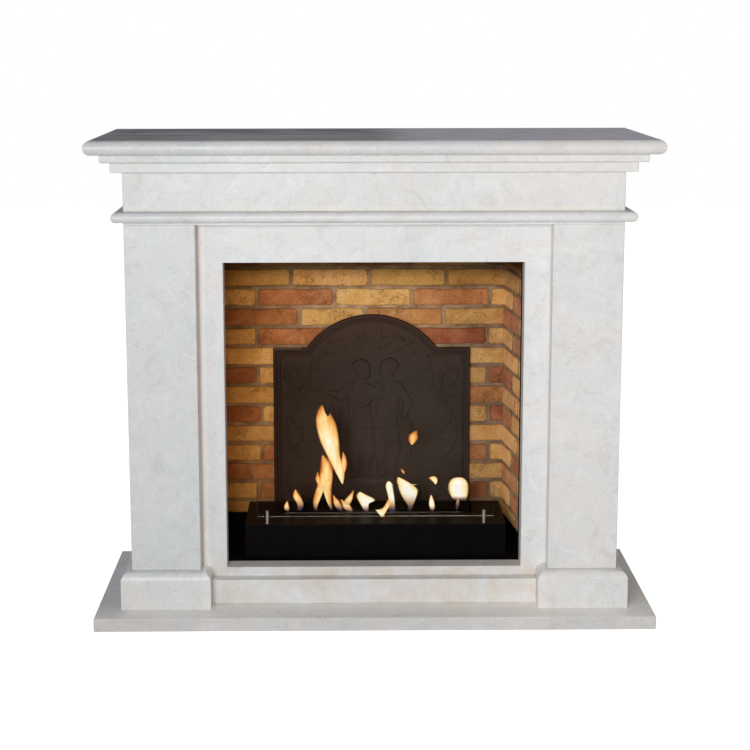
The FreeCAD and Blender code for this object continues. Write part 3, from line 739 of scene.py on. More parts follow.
mortar = mortar_finish("struck_mortar", 1.0)
pale_mortar = mortar_finish("struck_mortar_pale", PALE_LIFT)
dress(mortar, mortar_bed("back", BED_SHARE), mortar_bed("left", BED_SHARE))
dress(pale_mortar, mortar_bed("right", RIGHT_BED_SHARE))
dress(mortar, *[nodes["board_" + side] for side in walls])


# %% [markdown]
# The fireback is cast iron with a low relief inside a double rim: an oval with leaf sprays at the crown, a
# waving border down both sides, and two children side by side, one of them reaching out to the left. A
# casting like this is a height over a flat plate, so it is one grid whose height is worked out from
# distances: to the rim, to curved strokes and to rounded limbs. Every form is domed and sinks a fine groove
# round itself, as a pattern carver would cut it.

# %% Fireback relief
plate_low, plate_high = corners_of("fireback")
plate_half = plate_high[0]
plate_z = plate_low[2]
SHOULDER_Z = plate_z + 0.445
ARCH_HALF = 0.157
ARCH_RISE = 0.081
GROOVE = 0.0008
GROOVE_OFF = 0.0010
GROOVE_WIDE = 0.0014
RELIEF_LOW, RELIEF_HIGH = -0.0016, 0.0059
FIELD_EDGE, FIELD_FULL = 0.0185, 0.023
GRID_X, GRID_Z = 300, 310
arch_r = (ARCH_HALF ** 2 + ARCH_RISE ** 2) / (2 * ARCH_RISE)
arch_z = SHOULDER_Z + ARCH_RISE - arch_r
line_x = np.linspace(-plate_half, plate_half, GRID_X)
arch_top = arch_z + np.sqrt(np.maximum(arch_r ** 2 - line_x ** 2, 0))
top_z = np.where(np.abs(line_x) < ARCH_HALF, arch_top, SHOULDER_Z)
field_x = np.broadcast_to(line_x, (GRID_Z, GRID_X))
relief_z = plate_z + (top_z[None, :] - plate_z) * np.linspace(0, 1, GRID_Z)[:, None]
field_z = relief_z - plate_z
above = np.maximum(SHOULDER_Z - relief_z, arch_r - np.hypot(field_x, relief_z - arch_z))
rim_gap = np.minimum(np.minimum(plate_half - np.abs(field_x), field_z), above)


def swirl(value, other, waves, bend, other_waves):
    """A wave along one direction that a slower wave along the other one bends."""
    return np.sin(value * waves + bend * np.sin(other * other_waves))


relief = 0.0003 * (swirl(field_x, field_z, 95, 2, 60) + swirl(field_z, field_x, 120, 2, 70))
wear = 0.55 + 0.45 * swirl(field_x, field_z, 140, 3, 90) * swirl(field_z, field_x, 110, 2, 80)


def lay(gap, height, roundness, lift=0.0):
    """Lays a form on the plate: domed where its gap is below zero, with a worn groove cut round its edge."""
    depth_in = np.clip(-gap / roundness, 0.0, 1.0)
    dome = lift + height * np.sqrt(1.0 - (1.0 - depth_in) ** 2)
    cut = GROOVE * wear * np.exp(-((gap - GROOVE_OFF) / GROOVE_WIDE) ** 2)
    relief[:] = np.where(gap < 0, np.maximum(relief, dome), relief - cut)


def ribbon_gap(path_x, path_z, widths):
    """Gap to a ribbon along a curve: least of the distances to the curve's points less the width there."""
    gap = np.full(relief.shape, 1.0)
    reach = widths.max() + 0.006
    shown = (line_x > path_x.min() - reach) & (line_x < path_x.max() + reach)
    part_x, part_z = field_x[:, shown], field_z[:, shown]
    away = np.full(part_x.shape, 1.0)
    for point_x, point_z, width in zip(path_x, path_z, widths):
        away = np.minimum(away, np.hypot(part_x - point_x, part_z - point_z) - width)
    gap[:, shown] = away
    return gap


def limb_gap(start, end, start_r, end_r):
    """Gap to a rounded limb: distance to the line between two joints, less a radius that changes evenly."""
    run_x, run_z = end[0] - start[0], end[1] - start[1]
    share = ((field_x - start[0]) * run_x + (field_z - start[1]) * run_z) / (run_x ** 2 + run_z ** 2)
    share = np.clip(share, 0, 1)
    distance = np.hypot(field_x - start[0] - share * run_x, field_z - start[1] - share * run_z)
    return distance - start_r - (end_r - start_r) * share


def melt(first, second, soft=0.009):
    """Smooth union: the smaller gap, rounded off where two forms meet."""
    share = np.clip(0.5 + 0.5 * (second - first) / soft, 0, 1)
    return second + (first - second) * share - soft * share * (1 - share)


def smooth_path(knots, count=60):
    """Soft curve through a few points: straight runs between them, then a moving mean over the middle."""
    knots = np.array(knots)
    share = np.linspace(0, len(knots) - 1, count)
    path = np.stack([np.interp(share, np.arange(len(knots)), knots[:, axis]) for axis in (0, 1)])
    for _ in range(2):
        path[:, 4:-4] = np.stack([np.convolve(line, np.ones(9) / 9, "valid") for line in path])
    return path


def strand(knots, width, height=0.0016, sides=(1, -1), curl=0.0):
    """Scroll stem: a ribbon on a soft curve, widest in its middle, with a round eye at the end of a curl."""
    path_x, path_z = smooth_path(knots)
    widths = width * (0.35 + 0.65 * np.sin(np.linspace(0.25, 2.7, len(path_x))))
    for side in sides:
        lay(ribbon_gap(side * path_x, path_z, widths), height, width)
        if curl > 0:
            eye = (side * path_x[-1], path_z[-1])
            lay(limb_gap(eye, (eye[0] + 0.001, eye[1]), curl, curl), height + 0.0006, curl)


def leaf(foot_x, foot_z, length, lean_deg, curl_deg, width):
    """Acanthus leaf on both sides: pairs of lobes, shorter to the tip, along a spine that turns evenly."""
    share = np.linspace(0, 1, 24)
    heading = np.radians(lean_deg + curl_deg * share)
    step = length / 23
    spine_x = foot_x + np.concatenate([[0], np.cumsum(np.cos(heading[:-1]) * step)])
    spine_z = foot_z + np.concatenate([[0], np.cumsum(np.sin(heading[:-1]) * step)])
    blade_widths = width * 0.42 * np.sin(math.pi * (0.12 + 0.85 * share)) + 0.0006
    for side in (1, -1):
        blade = ribbon_gap(side * spine_x, spine_z, blade_widths)
        for number in (3, 8, 13, 18):
            reach = width * (1.15 - share[number])
            near = (side * spine_x[number], spine_z[number])
            for turn in (-0.62, 0.62):
                aim = heading[number] + turn
                far_x = spine_x[number] + reach * math.cos(aim)
                far = (side * far_x, spine_z[number] + reach * math.sin(aim))
                blade = melt(blade, limb_gap(near, far, reach * 0.34, reach * 0.20), 0.003)
        lay(blade, 0.0018, 0.004)
        lay(ribbon_gap(side * spine_x, spine_z, 0.0014 * (1.3 - share)), 0.0007, 0.0015, 0.0016)


def child(hips, chest, neck, crown, legs, arms, facing):
    """Plump child in five heads: body and legs melt into one form, and arms, head and curls lie over it."""
    body = melt(limb_gap(hips, chest, 0.0275, 0.0255), limb_gap(chest, neck, 0.0250, 0.0120))
    for hip, knee, ankle, toe in legs:
        body = melt(body, limb_gap(hip, knee, 0.0185, 0.0135))
        body = melt(body, limb_gap(knee, ankle, 0.0135, 0.0082), 0.006)
        body = melt(body, limb_gap(ankle, toe, 0.0080, 0.0058), 0.005)
    lay(body, 0.0030, 0.016)
    belly = (hips[0], hips[1] + 0.022)
    lay(limb_gap(belly, (belly[0], belly[1] + 0.004), 0.0180, 0.0160), 0.0008, 0.016, 0.0026)
    for shoulder, elbow, hand in arms:
        arm = melt(limb_gap(shoulder, elbow, 0.0115, 0.0095), limb_gap(elbow, hand, 0.0095, 0.0072), 0.006)
        lay(arm, 0.0018, 0.009, 0.0018)
    chin = (crown[0] + facing * 0.003, crown[1] - 0.010)
    lay(limb_gap(chin, crown, 0.0165, 0.0195), 0.0034, 0.014, 0.0010)
    for number in range(8):
        turn = math.radians(15 + 21 * number)
        curl_x = crown[0] - facing * 0.003 + 0.0165 * math.cos(turn)
        curl_z = crown[1] + 0.002 + 0.0165 * math.sin(turn)
        lay(limb_gap((curl_x, curl_z), (curl_x, curl_z + 0.001), 0.0058, 0.0052), 0.0016, 0.005, 0.0026)
    for side in (-0.0065, 0.0060):
        eye_x = crown[0] + facing * 0.005 + side
        from_eye = (field_x - eye_x) ** 2 + (field_z - crown[1] + 0.005) ** 2
        relief[:] -= 0.0006 * np.exp(-from_eye / 0.0020 ** 2)
    nose = (crown[0] + facing * 0.005, crown[1] - 0.005)
    lay(limb_gap(nose, (nose[0] + facing * 0.001, nose[1] - 0.005), 0.0016, 0.0022), 0.0005, 0.003, 0.0044)


# Oval at the crown with leaf sprays to both sides
strand([(-0.024, 0.478), (-0.018, 0.462), (-0.002, 0.455), (0.014, 0.464), (0.023, 0.481), (0.016, 0.495)],
       0.0046, sides=(1,))
lay(limb_gap((-0.004, 0.480), (0.003, 0.482), 0.011, 0.011), 0.0014, 0.009)
leaf(0.022, 0.441, 0.064, 62, -72, 0.012)
leaf(0.060, 0.441, 0.050, 52, -66, 0.011)
leaf(0.030, 0.470, 0.050, 10, -34, 0.009)
strand([(0.088, 0.426), (0.103, 0.434), (0.124, 0.427), (0.140, 0.412), (0.144, 0.399), (0.131, 0.394)],
       0.0050, curl=0.0058)
leaf(0.106, 0.432, 0.040, 20, -70, 0.009)

# Waving border down both sides, with leaves in its hollows
strand([(0.144, 0.396), (0.149, 0.354), (0.161, 0.326), (0.182, 0.302), (0.199, 0.274), (0.206, 0.247),
        (0.203, 0.216), (0.190, 0.188), (0.173, 0.178)], 0.0046, curl=0.0056)
strand([(0.168, 0.345), (0.167, 0.374), (0.176, 0.390), (0.190, 0.396), (0.207, 0.394)], 0.0044, curl=0.0050)
leaf(0.207, 0.392, 0.052, 262, -24, 0.010)
leaf(0.172, 0.346, 0.042, 300, 50, 0.009)
leaf(0.192, 0.270, 0.046, 220, 40, 0.010)
leaf(0.148, 0.352, 0.034, 215, -40, 0.008)
leaf(0.196, 0.196, 0.040, 120, 50, 0.009)
strand([(0.176, 0.172), (0.196, 0.158), (0.208, 0.132), (0.204, 0.100), (0.184, 0.084), (0.166, 0.094)],
       0.0046, curl=0.0056)
leaf(0.188, 0.088, 0.046, 190, 30, 0.010)
strand([(0.150, 0.070), (0.110, 0.052), (0.070, 0.060), (0.040, 0.050), (0.016, 0.062)], 0.0044, curl=0.0052)
leaf(0.112, 0.054, 0.044, 100, -50, 0.010)

# Ground under the children, and a cloth that falls behind them
strand([(-0.110, 0.104), (-0.060, 0.112), (0.000, 0.106), (0.055, 0.113), (0.115, 0.103)],
       0.0110, 0.0014, sides=(1,))
strand([(-0.092, 0.318), (-0.078, 0.286), (-0.090, 0.246), (-0.076, 0.204)], 0.0100, 0.0018, sides=(1,))
strand([(0.074, 0.288), (0.092, 0.252), (0.082, 0.214), (0.094, 0.176)], 0.0100, 0.0018, sides=(1,))

# Two children side by side: one reaches out to the left, and its other arm lies round its fellow
child((0.036, 0.262), (0.043, 0.338), (0.041, 0.366), (0.040, 0.395),
      [((0.047, 0.250), (0.058, 0.195), (0.050, 0.140), (0.062, 0.127)),
       ((0.025, 0.250), (0.020, 0.192), (0.028, 0.138), (0.016, 0.125))],
      [((0.064, 0.350), (0.088, 0.312), (0.080, 0.278)),
       ((0.022, 0.350), (0.004, 0.330), (-0.012, 0.318))], -1)
child((-0.027, 0.260), (-0.031, 0.334), (-0.026, 0.364), (-0.022, 0.392),
      [((-0.038, 0.250), (-0.043, 0.190), (-0.037, 0.136), (-0.050, 0.125)),
       ((-0.016, 0.250), (-0.007, 0.192), (-0.014, 0.138), (-0.002, 0.125))],
      [((-0.052, 0.350), (-0.073, 0.327), (-0.096, 0.333)),
       ((-0.010, 0.346), (0.016, 0.328), (0.050, 0.330))], 1)
strand([(-0.062, 0.328), (-0.046, 0.305), (-0.020, 0.300), (-0.004, 0.316)], 0.0060, 0.0046, sides=(1,))
strand([(-0.050, 0.262), (-0.026, 0.246), (0.004, 0.258), (0.036, 0.244), (0.060, 0.258)],
       0.0070, 0.0042, sides=(1,))


def band(height, middle, half):
    """Round band that follows the outline: its height, and its middle and half width from the edge."""
    return height * np.sqrt(np.clip(1 - ((rim_gap - middle) / half) ** 2, 0, 1))


# Double rim: a round outer band and a fine inner bead
rim = np.maximum(band(0.0060, 0.0042, 0.0045), band(0.0036, 0.0155, 0.0028))
inner = np.clip(relief, RELIEF_LOW, RELIEF_HIGH) * ease(FIELD_EDGE, FIELD_FULL, rim_gap)
relief = np.where(rim_gap < FIELD_EDGE, rim, inner)
print("fireback relief:", float(relief.min()), float(relief.max()))


# %% [markdown]
# The relief becomes a closed plate: the front grid carries the height, a strip of quads runs back from its
# edge, and one flat face closes the back.

# %% Fireback mesh
PLATE_FACE = 0.008
plate_back_y = plate_high[1]
front_y = np.maximum(plate_back_y - PLATE_FACE - relief, plate_low[1])
front = np.stack([field_x, front_y, relief_z], -1).reshape(-1, 3)
numbers = np.arange(GRID_X * GRID_Z).reshape(GRID_Z, GRID_X)
edge = np.concatenate([numbers[0, :-1], numbers[:-1, -1], numbers[-1, :0:-1], numbers[:0:-1, 0]])
back_edge = front[edge].copy()
back_edge[:, 1] = plate_back_y
back_ring = GRID_X * GRID_Z + np.arange(len(edge))
strip = np.stack([np.roll(edge, -1), edge, back_ring, np.roll(back_ring, -1)], -1)
fireback = add_piece("fireback_casting", np.concatenate([front, back_edge]),
                     [grid_faces(GRID_Z, GRID_X), strip, back_ring[None, ::-1]], "mantel")
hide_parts("fireback")


def cast_iron():
    """Sooty brown-black iron, browner above, with a painted highlight along the left shoulder."""
    net = Finish("blackened_cast_iron")
    cloud = net.noise(9.0, 5.0, 0.6)
    colour = net.ramp(cloud, (0.30, (0.038, 0.025, 0.018)), (0.55, (0.054, 0.037, 0.028)),
                      (0.75, (0.062, 0.044, 0.034)))
    colour = net.mix(net.stretch(net.x, 0.02, -0.20), colour, (0.036, 0.0185, 0.0100))
    colour = net.mix(net.stretch(net.z, 0.48, 0.60, 0.0, 0.7), colour, (0.078, 0.043, 0.029))
    # Painted highlight: a thin light line along the top of the left shoulder.
    shoulder_highlight = net.zone(("z", 0.5486, 0.5500), ("z", 0.5535, 0.5520), ("x", -0.164, -0.172, 0.0, 0.6))
    colour = net.mix(shoulder_highlight, colour, (0.30, 0.22, 0.15))
    grit = net.noise(520.0, 3.0, 0.7)
    colour = net.speckle(0.5, colour, grit, 0.30, (0.55, 0.53, 0.52), 0.70)
    net.set(Base_Color=colour, Roughness=net.stretch(cloud, 0.3, 0.7, 0.55, 0.70), Specular_IOR_Level=0.12)
    net.bump(grit, 0.35, 0.0008)
    return net


dress(cast_iron(), fireback)


# %% [markdown]
# The burner is folded sheet steel with a matt black powder coat that has a fine orange-peel skin. The
# firebox floor, skirting and flanges wear a duller heat-proof paint. Both are nearly black, so most of
# what the eye sees is the change of gloss, and that is what the patterns vary.

# %% Black metals
def coated_steel(name, dark, light, gloss, peel):
    """Thin coat on steel: cloudy in tone and gloss, with a fine skin."""
    net = Finish(name)
    cloud = net.noise(14.0, 4.0, 0.6)
    net.set(Base_Color=net.ramp(cloud, (0.3, dark), (0.7, light)),
            Roughness=net.stretch(cloud, 0.3, 0.7, *gloss), Specular_IOR_Level=0.03)
    net.bump(net.noise(peel, 3.0, 0.6), 0.2, 0.0004)
    return net


powder_coat = coated_steel("matt_powder_coat", (0.0030, 0.0023, 0.0020), (0.0046, 0.0036, 0.0032),
                           (0.42, 0.56), 900.0)
stove_paint = coated_steel("heatproof_paint", (0.0035, 0.0032, 0.0030), (0.0065, 0.0058, 0.0052),
                           (0.60, 0.78), 600.0)
top_coat = coated_steel("heated_top_coat", (0.0080, 0.0058, 0.0040), (0.0150, 0.0105, 0.0070),
                        (0.36, 0.50), 900.0)
dress(powder_coat, nodes["burner_box"], nodes["damper"])
dress(top_coat, nodes["burner_top"])
black_nodes = ["casing_floor", "casing_back", "casing_left", "casing_right", "casing_top",
               "flange_left", "flange_right", "flange_top", "skirting"]
dress(stove_paint, *[nodes[name] for name in black_nodes])


# %% [markdown]
# Brushed stainless shows long fine scratches. A noise that is stretched many times along one axis gives
# them, and it drives both the roughness and a tiny bump. The hidden pieces behind the lining get their own
# simple but real finishes: zinc plating, planed softwood, aerated concrete and ceramic wool.

# %% Steel, wood, concrete and wool
def brushed(name, tone, scale):
    """Metal with fine lines along one direction."""
    net = Finish(name)
    lines = net.noise(1.0, 4.0, 0.6, where=net.scaled(scale))
    dark = tuple(0.82 * part for part in tone)
    net.set(Base_Color=net.ramp(lines, (0.3, dark), (0.7, tone)), Metallic=1.0,
            Roughness=net.stretch(lines, 0.3, 0.7, 0.26, 0.42))
    net.bump(lines, 0.15, 0.0002)
    return net


def grained(name, low, middle, high, scale, sharp, rough):
    """Dull material with a grain in three tones."""
    net = Finish(name)
    lines = net.noise(1.0, 6.0, 0.65, 0.6, net.scaled(scale))
    net.set(Base_Color=net.ramp(lines, (0.3, low), (0.5, middle), (0.7, high)), Roughness=rough,
            Specular_IOR_Level=0.2)
    net.bump(lines, sharp, 0.001)
    return net


stainless = brushed("brushed_stainless", (0.50, 0.48, 0.45), (900.0, 900.0, 12.0))
zinc = brushed("zinc_plate", (0.58, 0.58, 0.57), (300.0, 40.0, 300.0))
softwood = grained("planed_softwood", (0.34, 0.20, 0.10), (0.48, 0.31, 0.16), (0.60, 0.42, 0.24),
                   (2.0, 70.0, 70.0), 0.3, 0.7)
concrete = grained("aerated_concrete", (0.42, 0.42, 0.41), (0.62, 0.62, 0.60), (0.72, 0.72, 0.70),
                   (160.0, 160.0, 160.0), 0.8, 0.95)
wool = grained("ceramic_wool", (0.62, 0.61, 0.57), (0.78, 0.77, 0.73), (0.88, 0.87, 0.84),
               (240.0, 60.0, 240.0), 0.9, 1.0)
dress(stainless, nodes["reservoir"], nodes["damper_rails"], nodes["glass_posts"])
dress(zinc, nodes["fireback_studs"], nodes["stud_nuts"])
dress(softwood, nodes["back_rail"])
dress(concrete, nodes["bearer_left"], nodes["bearer_right"])
dress(wool, nodes["absorbent_wool"])


# %% [markdown]
# The pane is low-reflection glass. Its own solid is already right, so it only needs a clear finish with a
# faint haze that varies a little in roughness. Its ground edges carry a painted highlight, the foot most
# of all, and each edge is a thin rod just inside the pane.

# %% Glass pane
EDGE_N = 12
EDGE_IN = 0.0009
FOOT_R = 0.0007
RIM_R = 0.0004
RIM_HIGHLIGHT = 0.035
EDGE_HIGHLIGHT_TONES = ((0.35, (0.16, 0.13, 0.095)), (0.65, (0.40, 0.34, 0.25)))


def clear_glass():
    """Clear pane with hardly any reflection and a faint haze."""
    net = Finish("clear_glass")
    haze = net.noise(18.0, 3.0, 0.6)
    net.set(Base_Color=net.ramp(haze, (0.3, (0.93, 0.94, 0.93)), (0.7, (0.97, 0.975, 0.97))),
            Roughness=net.stretch(haze, 0.35, 0.75, 0.01, 0.05), Transmission_Weight=1.0, IOR=1.02)
    return net


def ground_edge_highlight(name, lift):
    """Ground rim of the pane as a painted highlight, dimmer to the left; the lift sets how bright it is
    painted.
    """
    net = Finish(name)
    tint = net.ramp(net.noise(60.0, 4.0, 0.6), *lifted(EDGE_HIGHLIGHT_TONES, lift))
    net.set(Base_Color=net.dim(tint, net.stretch(net.x, -0.20, 0.22, 0.40, 1.0)), Roughness=0.6)
    return net


def edge_rod(name, start, end, radius):
    """Straight round rod between two points: a ring across the run at each end."""
    start, end = np.array(start), np.array(end)
    turn = np.linspace(0, 2 * math.pi, EDGE_N, endpoint=False)[:, None]
    across = np.array([0.0, 1.0, 0.0])
    up = np.cross((end - start) / np.linalg.norm(end - start), across)
    ring = radius * (np.cos(turn) * across + np.sin(turn) * up)
    caps = np.stack([np.arange(EDGE_N), np.arange(2 * EDGE_N - 1, EDGE_N - 1, -1)])
    sides = grid_faces(2, EDGE_N, wrap=True)[:, ::-1]
    return add_piece(name, np.concatenate([start + ring, end + ring]), [sides, caps], "glass")


dress(clear_glass(), nodes["glass_screen"])
pane_low, pane_high = corners_of("glass_screen")
middle_y = (pane_low[1] + pane_high[1]) / 2
(x_near, _, z_near), (x_far, _, z_far) = pane_low + EDGE_IN, pane_high - EDGE_IN
foot_left, foot_right = (x_near, middle_y, z_near), (x_far, middle_y, z_near)
foot_rod = edge_rod("glass_foot_edge", foot_left, foot_right, FOOT_R)
rim_rods = [edge_rod("glass_left_edge", foot_left, (x_near, middle_y, z_far), RIM_R),
            edge_rod("glass_right_edge", foot_right, (x_far, middle_y, z_far), RIM_R)]
# Painted highlight on the ground edges: bright on the foot, faint on the rims.
dress(ground_edge_highlight("ground_glass_foot_highlight", 1.0), foot_rod)
dress(ground_edge_highlight("ground_glass_rim_highlight", RIM_HIGHLIGHT), *rim_rods)


# %% [markdown]
# Ethanol burns with soft yellow tongues. A flame is drawn by its two edges, each a smooth line through a
# few chosen points from foot to tip, and its section between them is a thin lens. A wedge cut from the top
# or the foot makes it fork. Each surface point stores how near it is to the side of the flame, how high it
# stands and how hot and how clear it is, and the finish turns those numbers into a white-yellow heart, an
# orange skirt and a clear blue foot.

# %% Flames
MM = 0.001
SLOT_DEPTH = 0.189
SLOT_Y = WALL_Y - SLOT_DEPTH
FLAME_ROWS, FLAME_COLS = 44, 24
FLAME_SKIN = 0.0012
LEAN_RISE = 0.3
NO_WEDGE = (0.5, 0.0)
CROWN_WIDE, FORK_WIDE = 0.35, 0.45
LENS_LEAST, LENS_SHARE = 0.0003, 0.25


def soft_edge(knots):
    """Cubic curve through points in mm: its slope at each one is half the step between its neighbours."""
    knots = np.array(knots) * MM
    padded = np.concatenate([knots[:1], knots, knots[-1:]])
    station = np.linspace(0, len(knots) - 1, FLAME_ROWS)
    run = np.minimum(station.astype(int), len(knots) - 2)
    t = (station - run)[:, None]
    before, start, end, after = (padded[run + step] for step in range(4))
    bend = 2 * before - 5 * start + 4 * end - after + t * (3 * (start - end) + after - before)
    return start + 0.5 * t * (end - before + t * bend)


def bowed_edges(foot, bow, tip, width, belly):
    """Two edges of a plain tongue: a spine bent by its bow, and a width t (1-t)^b, largest at the belly."""
    share = np.linspace(0, 1, FLAME_ROWS)[:, None]
    a, b, c = (np.array(point) * MM for point in (foot, bow, tip))
    spine = (1 - share) ** 2 * a + 2 * share * (1 - share) * b + share ** 2 * c
    ahead = (1 - share) * (b - a) + share * (c - b)
    ahead = ahead / np.linalg.norm(ahead, axis=1, keepdims=True)
    swell = share * (1 - share) ** ((1 - belly) / belly)
    half = 0.5 * MM * width * np.maximum(swell / swell.max(), 0.15 * (1 - share) ** 2)
    aside = half * np.stack([ahead[:, 1], -ahead[:, 0]], -1)
    return spine - aside, spine + aside


def lens_caps():
    """Faces that close the first and last row: strips from each front column to the back column behind it."""
    half = FLAME_COLS // 2
    column = np.arange(1, half - 1)
    strip = np.stack([column, column + 1, FLAME_COLS - column - 1, FLAME_COLS - column], -1)
    ends = np.array([[0, 1, FLAME_COLS - 1], [half - 1, half, half + 1]])
    last = (FLAME_ROWS - 1) * FLAME_COLS
    return [strip[:, ::-1], ends[:, ::-1], strip + last, ends + last]


def flame(name, edges, heat, fade=0, crown=NO_WEDGE, fork=NO_WEDGE, lean=0.0):
    """Flame between two edges, with a lens for its section.

    Crown and fork cut a wedge from its top or foot, given as the place across and the share of the height.
    Fade is the height of its clear foot in mm, and lean brings its foot forward over the plate.
    """
    left, right = edges
    share = np.linspace(0, 1, FLAME_ROWS)
    angle = np.linspace(0, 2 * math.pi, FLAME_COLS, endpoint=False)
    across = 0.5 - 0.5 * np.cos(angle)
    top_cut = crown[1] * np.clip(1 - np.abs(across - crown[0]) / CROWN_WIDE, 0, 1)
    foot_cut = fork[1] * np.clip(1 - np.abs(across - fork[0]) / FORK_WIDE, 0, 1)
    along = foot_cut + share[:, None] * (1 - foot_cut - top_cut)
    left_x, left_z, right_x, right_z = (np.interp(along, share, line) for line in (*left.T, *right.T))
    x = left_x + (right_x - left_x) * across - FLAME_SKIN * np.cos(angle)
    z = left_z + (right_z - left_z) * across
    half = LENS_LEAST + LENS_SHARE * np.hypot(*(right - left).T)[:, None]
    forward = lean * (1 - share[:, None])
    y = SLOT_Y + half * np.sin(angle) - forward
    z = z + LEAN_RISE * forward
    points = np.stack([x, y, z], -1).reshape(-1, 3)
    faces = [grid_faces(FLAME_ROWS, FLAME_COLS, wrap=True), *lens_caps()]
    piece = add_piece(name, points, faces, "burner")
    add_values(piece, side=np.tile(np.abs(np.cos(angle)), FLAME_ROWS), rise=np.repeat(share, FLAME_COLS),
               warmth=np.full(z.size, heat), base=ease(MM * max(fade, 0.1), 0.0, z - z.min()))
    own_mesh(piece)
    return piece


def flame_glow():
    """Heat turned into light: cooler at the side and the tip, with a clear blue foot."""
    net = Finish("flame_glow")
    side, rise, base = (net.read(name) for name in ("side", "rise", "base"))
    rim = net.times(net.sum("POWER", side, 2.0), 0.56)
    tip = net.stretch(rise, 0.58, 1.0, 0.0, 0.42)
    lick = net.noise(1.0, 3.0, 0.5, 0.6, net.scaled((90.0, 90.0, 26.0)))
    flicker = net.stretch(lick, 0.3, 0.7, 0.16, -0.14)
    loss = net.sum("ADD", net.sum("ADD", rim, tip), flicker)
    heat = net.sum("SUBTRACT", net.read("warmth"), loss)
    glow = net.ramp(heat, (0.0, (0.30, 0.080, 0.014)), (0.22, (0.76, 0.28, 0.060)),
                    (0.45, (0.97, 0.55, 0.18)), (0.68, (1.0, 0.77, 0.35)), (0.86, (1.0, 0.89, 0.60)),
                    (1.0, (1.0, 0.96, 0.84)))
    glow = net.mix(net.stretch(base, 0.15, 0.70, 0.0, 0.9), glow, (0.62, 0.35, 0.18))
    glow = net.mix(net.stretch(base, 0.72, 1.0, 0.0, 0.9), glow, (0.080, 0.055, 0.150))
    clear = net.times(net.stretch(side, 1.0, 0.76), net.stretch(rise, 1.0, 0.96),
                      net.stretch(base, 0.35, 0.97, 1.0, 0.16))
    net.set(Emission_Color=glow, Emission_Strength=1.0, Base_Color=(0.0, 0.0, 0.0), Specular_IOR_Level=0.0,
            Roughness=1.0, Alpha=clear)
    return net


# Shaped flames by their left and right edges, from foot to tip, as (X, Z) in millimetres
shaped = {
    "flame_tall": ([(-71, 251), (-92, 291), (-114, 337), (-125, 363), (-132, 400), (-129, 423), (-120, 444)],
                   [(-71, 251), (-67, 280), (-77, 318), (-79, 352), (-84, 388), (-93, 411), (-103, 424)],
                   {"heat": 0.84, "crown": (0.66, 0.20)}),
    "flame_under": ([(-136, 185), (-140, 203), (-137, 226), (-127, 255), (-123, 290), (-119, 321)],
                    [(-94, 186), (-97, 208), (-97, 236), (-94, 275), (-98, 302), (-115, 321)],
                    {"heat": 0.66, "fade": 36, "fork": (0.52, 0.46)}),
    "flame_leaf": ([(-176, 188), (-178, 205), (-187, 222), (-182, 239)],
                   [(-169, 187), (-164, 202), (-172, 224), (-182, 239)], {"heat": 0.62, "fade": 44}),
    "flame_flag": ([(-17, 182), (-25, 196), (-37, 221), (-30, 232)],
                   [(-11, 182), (-9, 205), (5, 212), (-12, 222), (-30, 232)], {"heat": 1.12, "fade": 28}),
    "flame_curl": ([(40, 183), (38, 216), (32, 243), (34, 254), (38, 257)],
                   [(53, 184), (50, 219), (46, 246), (43, 254), (39, 257)], {"heat": 1.12, "fade": 46}),
    "flame_sweep": ([(5, 187), (20, 190), (29, 198), (39, 218)],
                    [(5, 187), (20, 170), (30, 183), (42, 201)], {"heat": 0.86, "lean": 0.080}),
    "flame_broad": ([(86, 185), (83, 199), (67, 226), (58, 256), (60, 267)],
                    [(89, 185), (95, 199), (105, 228), (103, 240), (80, 257), (61, 267)],
                    {"heat": 1.14, "fade": 60}),
    "flame_globe": ([(189, 213), (180, 233), (180, 250), (188, 262), (201, 265)],
                    [(221, 211), (225, 233), (223, 253), (213, 264), (203, 265)], {"heat": 1.08, "fade": 18}),
}
# Plain tongues: foot, bow and tip as (X, Z), width, place of the belly, heat and height of the clear foot
plain = {
    "flame_tall_spur": (((-73, 268), (-63, 304), (-70, 329)), 13, 0.46, 0.52),
    "flame_under_spur": (((-121, 246), (-131, 263), (-129, 281)), 11, 0.42, 0.52),
    "flame_fork_left": (((-74, 185), (-85, 203), (-93, 225)), 13, 0.45, 0.64, 34),
    "flame_fork_right": (((-74, 189), (-55, 209), (-45, 236)), 14, 0.42, 0.64, 36),
    "flame_fork_foot": (((-48, 181), (-62, 198), (-75, 214)), 14, 0.45, 0.66, 28),
    "flame_seed_right": (((142, 183), (139, 202), (138, 224)), 11, 0.45, 1.05, 22),
    "flame_seed_left": (((-199, 184), (-206, 195), (-201, 210)), 10, 0.45, 0.74, 20),
    "flame_globe_stem": (((199, 187), (200, 199), (202, 216)), 6, 0.50, 0.40, 60),
    "spark_high": (((92, 346), (93, 363), (103, 380)), 21, 0.48, 0.44),
    "spark_small": (((74, 276), (71, 282), (67, 288)), 5, 0.50, 0.34),
    "spark_low": (((148, 250), (149, 267), (132, 265)), 12, 0.50, 0.92),
}
flames = []
for name, (left_knots, right_knots, sizes) in shaped.items():
    flames.append(flame(name, (soft_edge(left_knots), soft_edge(right_knots)), **sizes))
for name, (spine, width, belly, *sizes) in plain.items():
    flames.append(flame(name, bowed_edges(*spine, width, belly), *sizes))
dress(flame_glow(), *flames)
print("flames:", len(flames))


# %% [markdown]
# The set is a pale floor under soft studio light. One large soft box stands in front, a little to the left
# and a little higher than the shelf, so that upright faces are bright, ledges are darker and the shelf top
# is darkest; painted light and shade in the stone and the lining add to this. The white background
# belongs to the world and the floor as the camera sees them, not to the lamps.

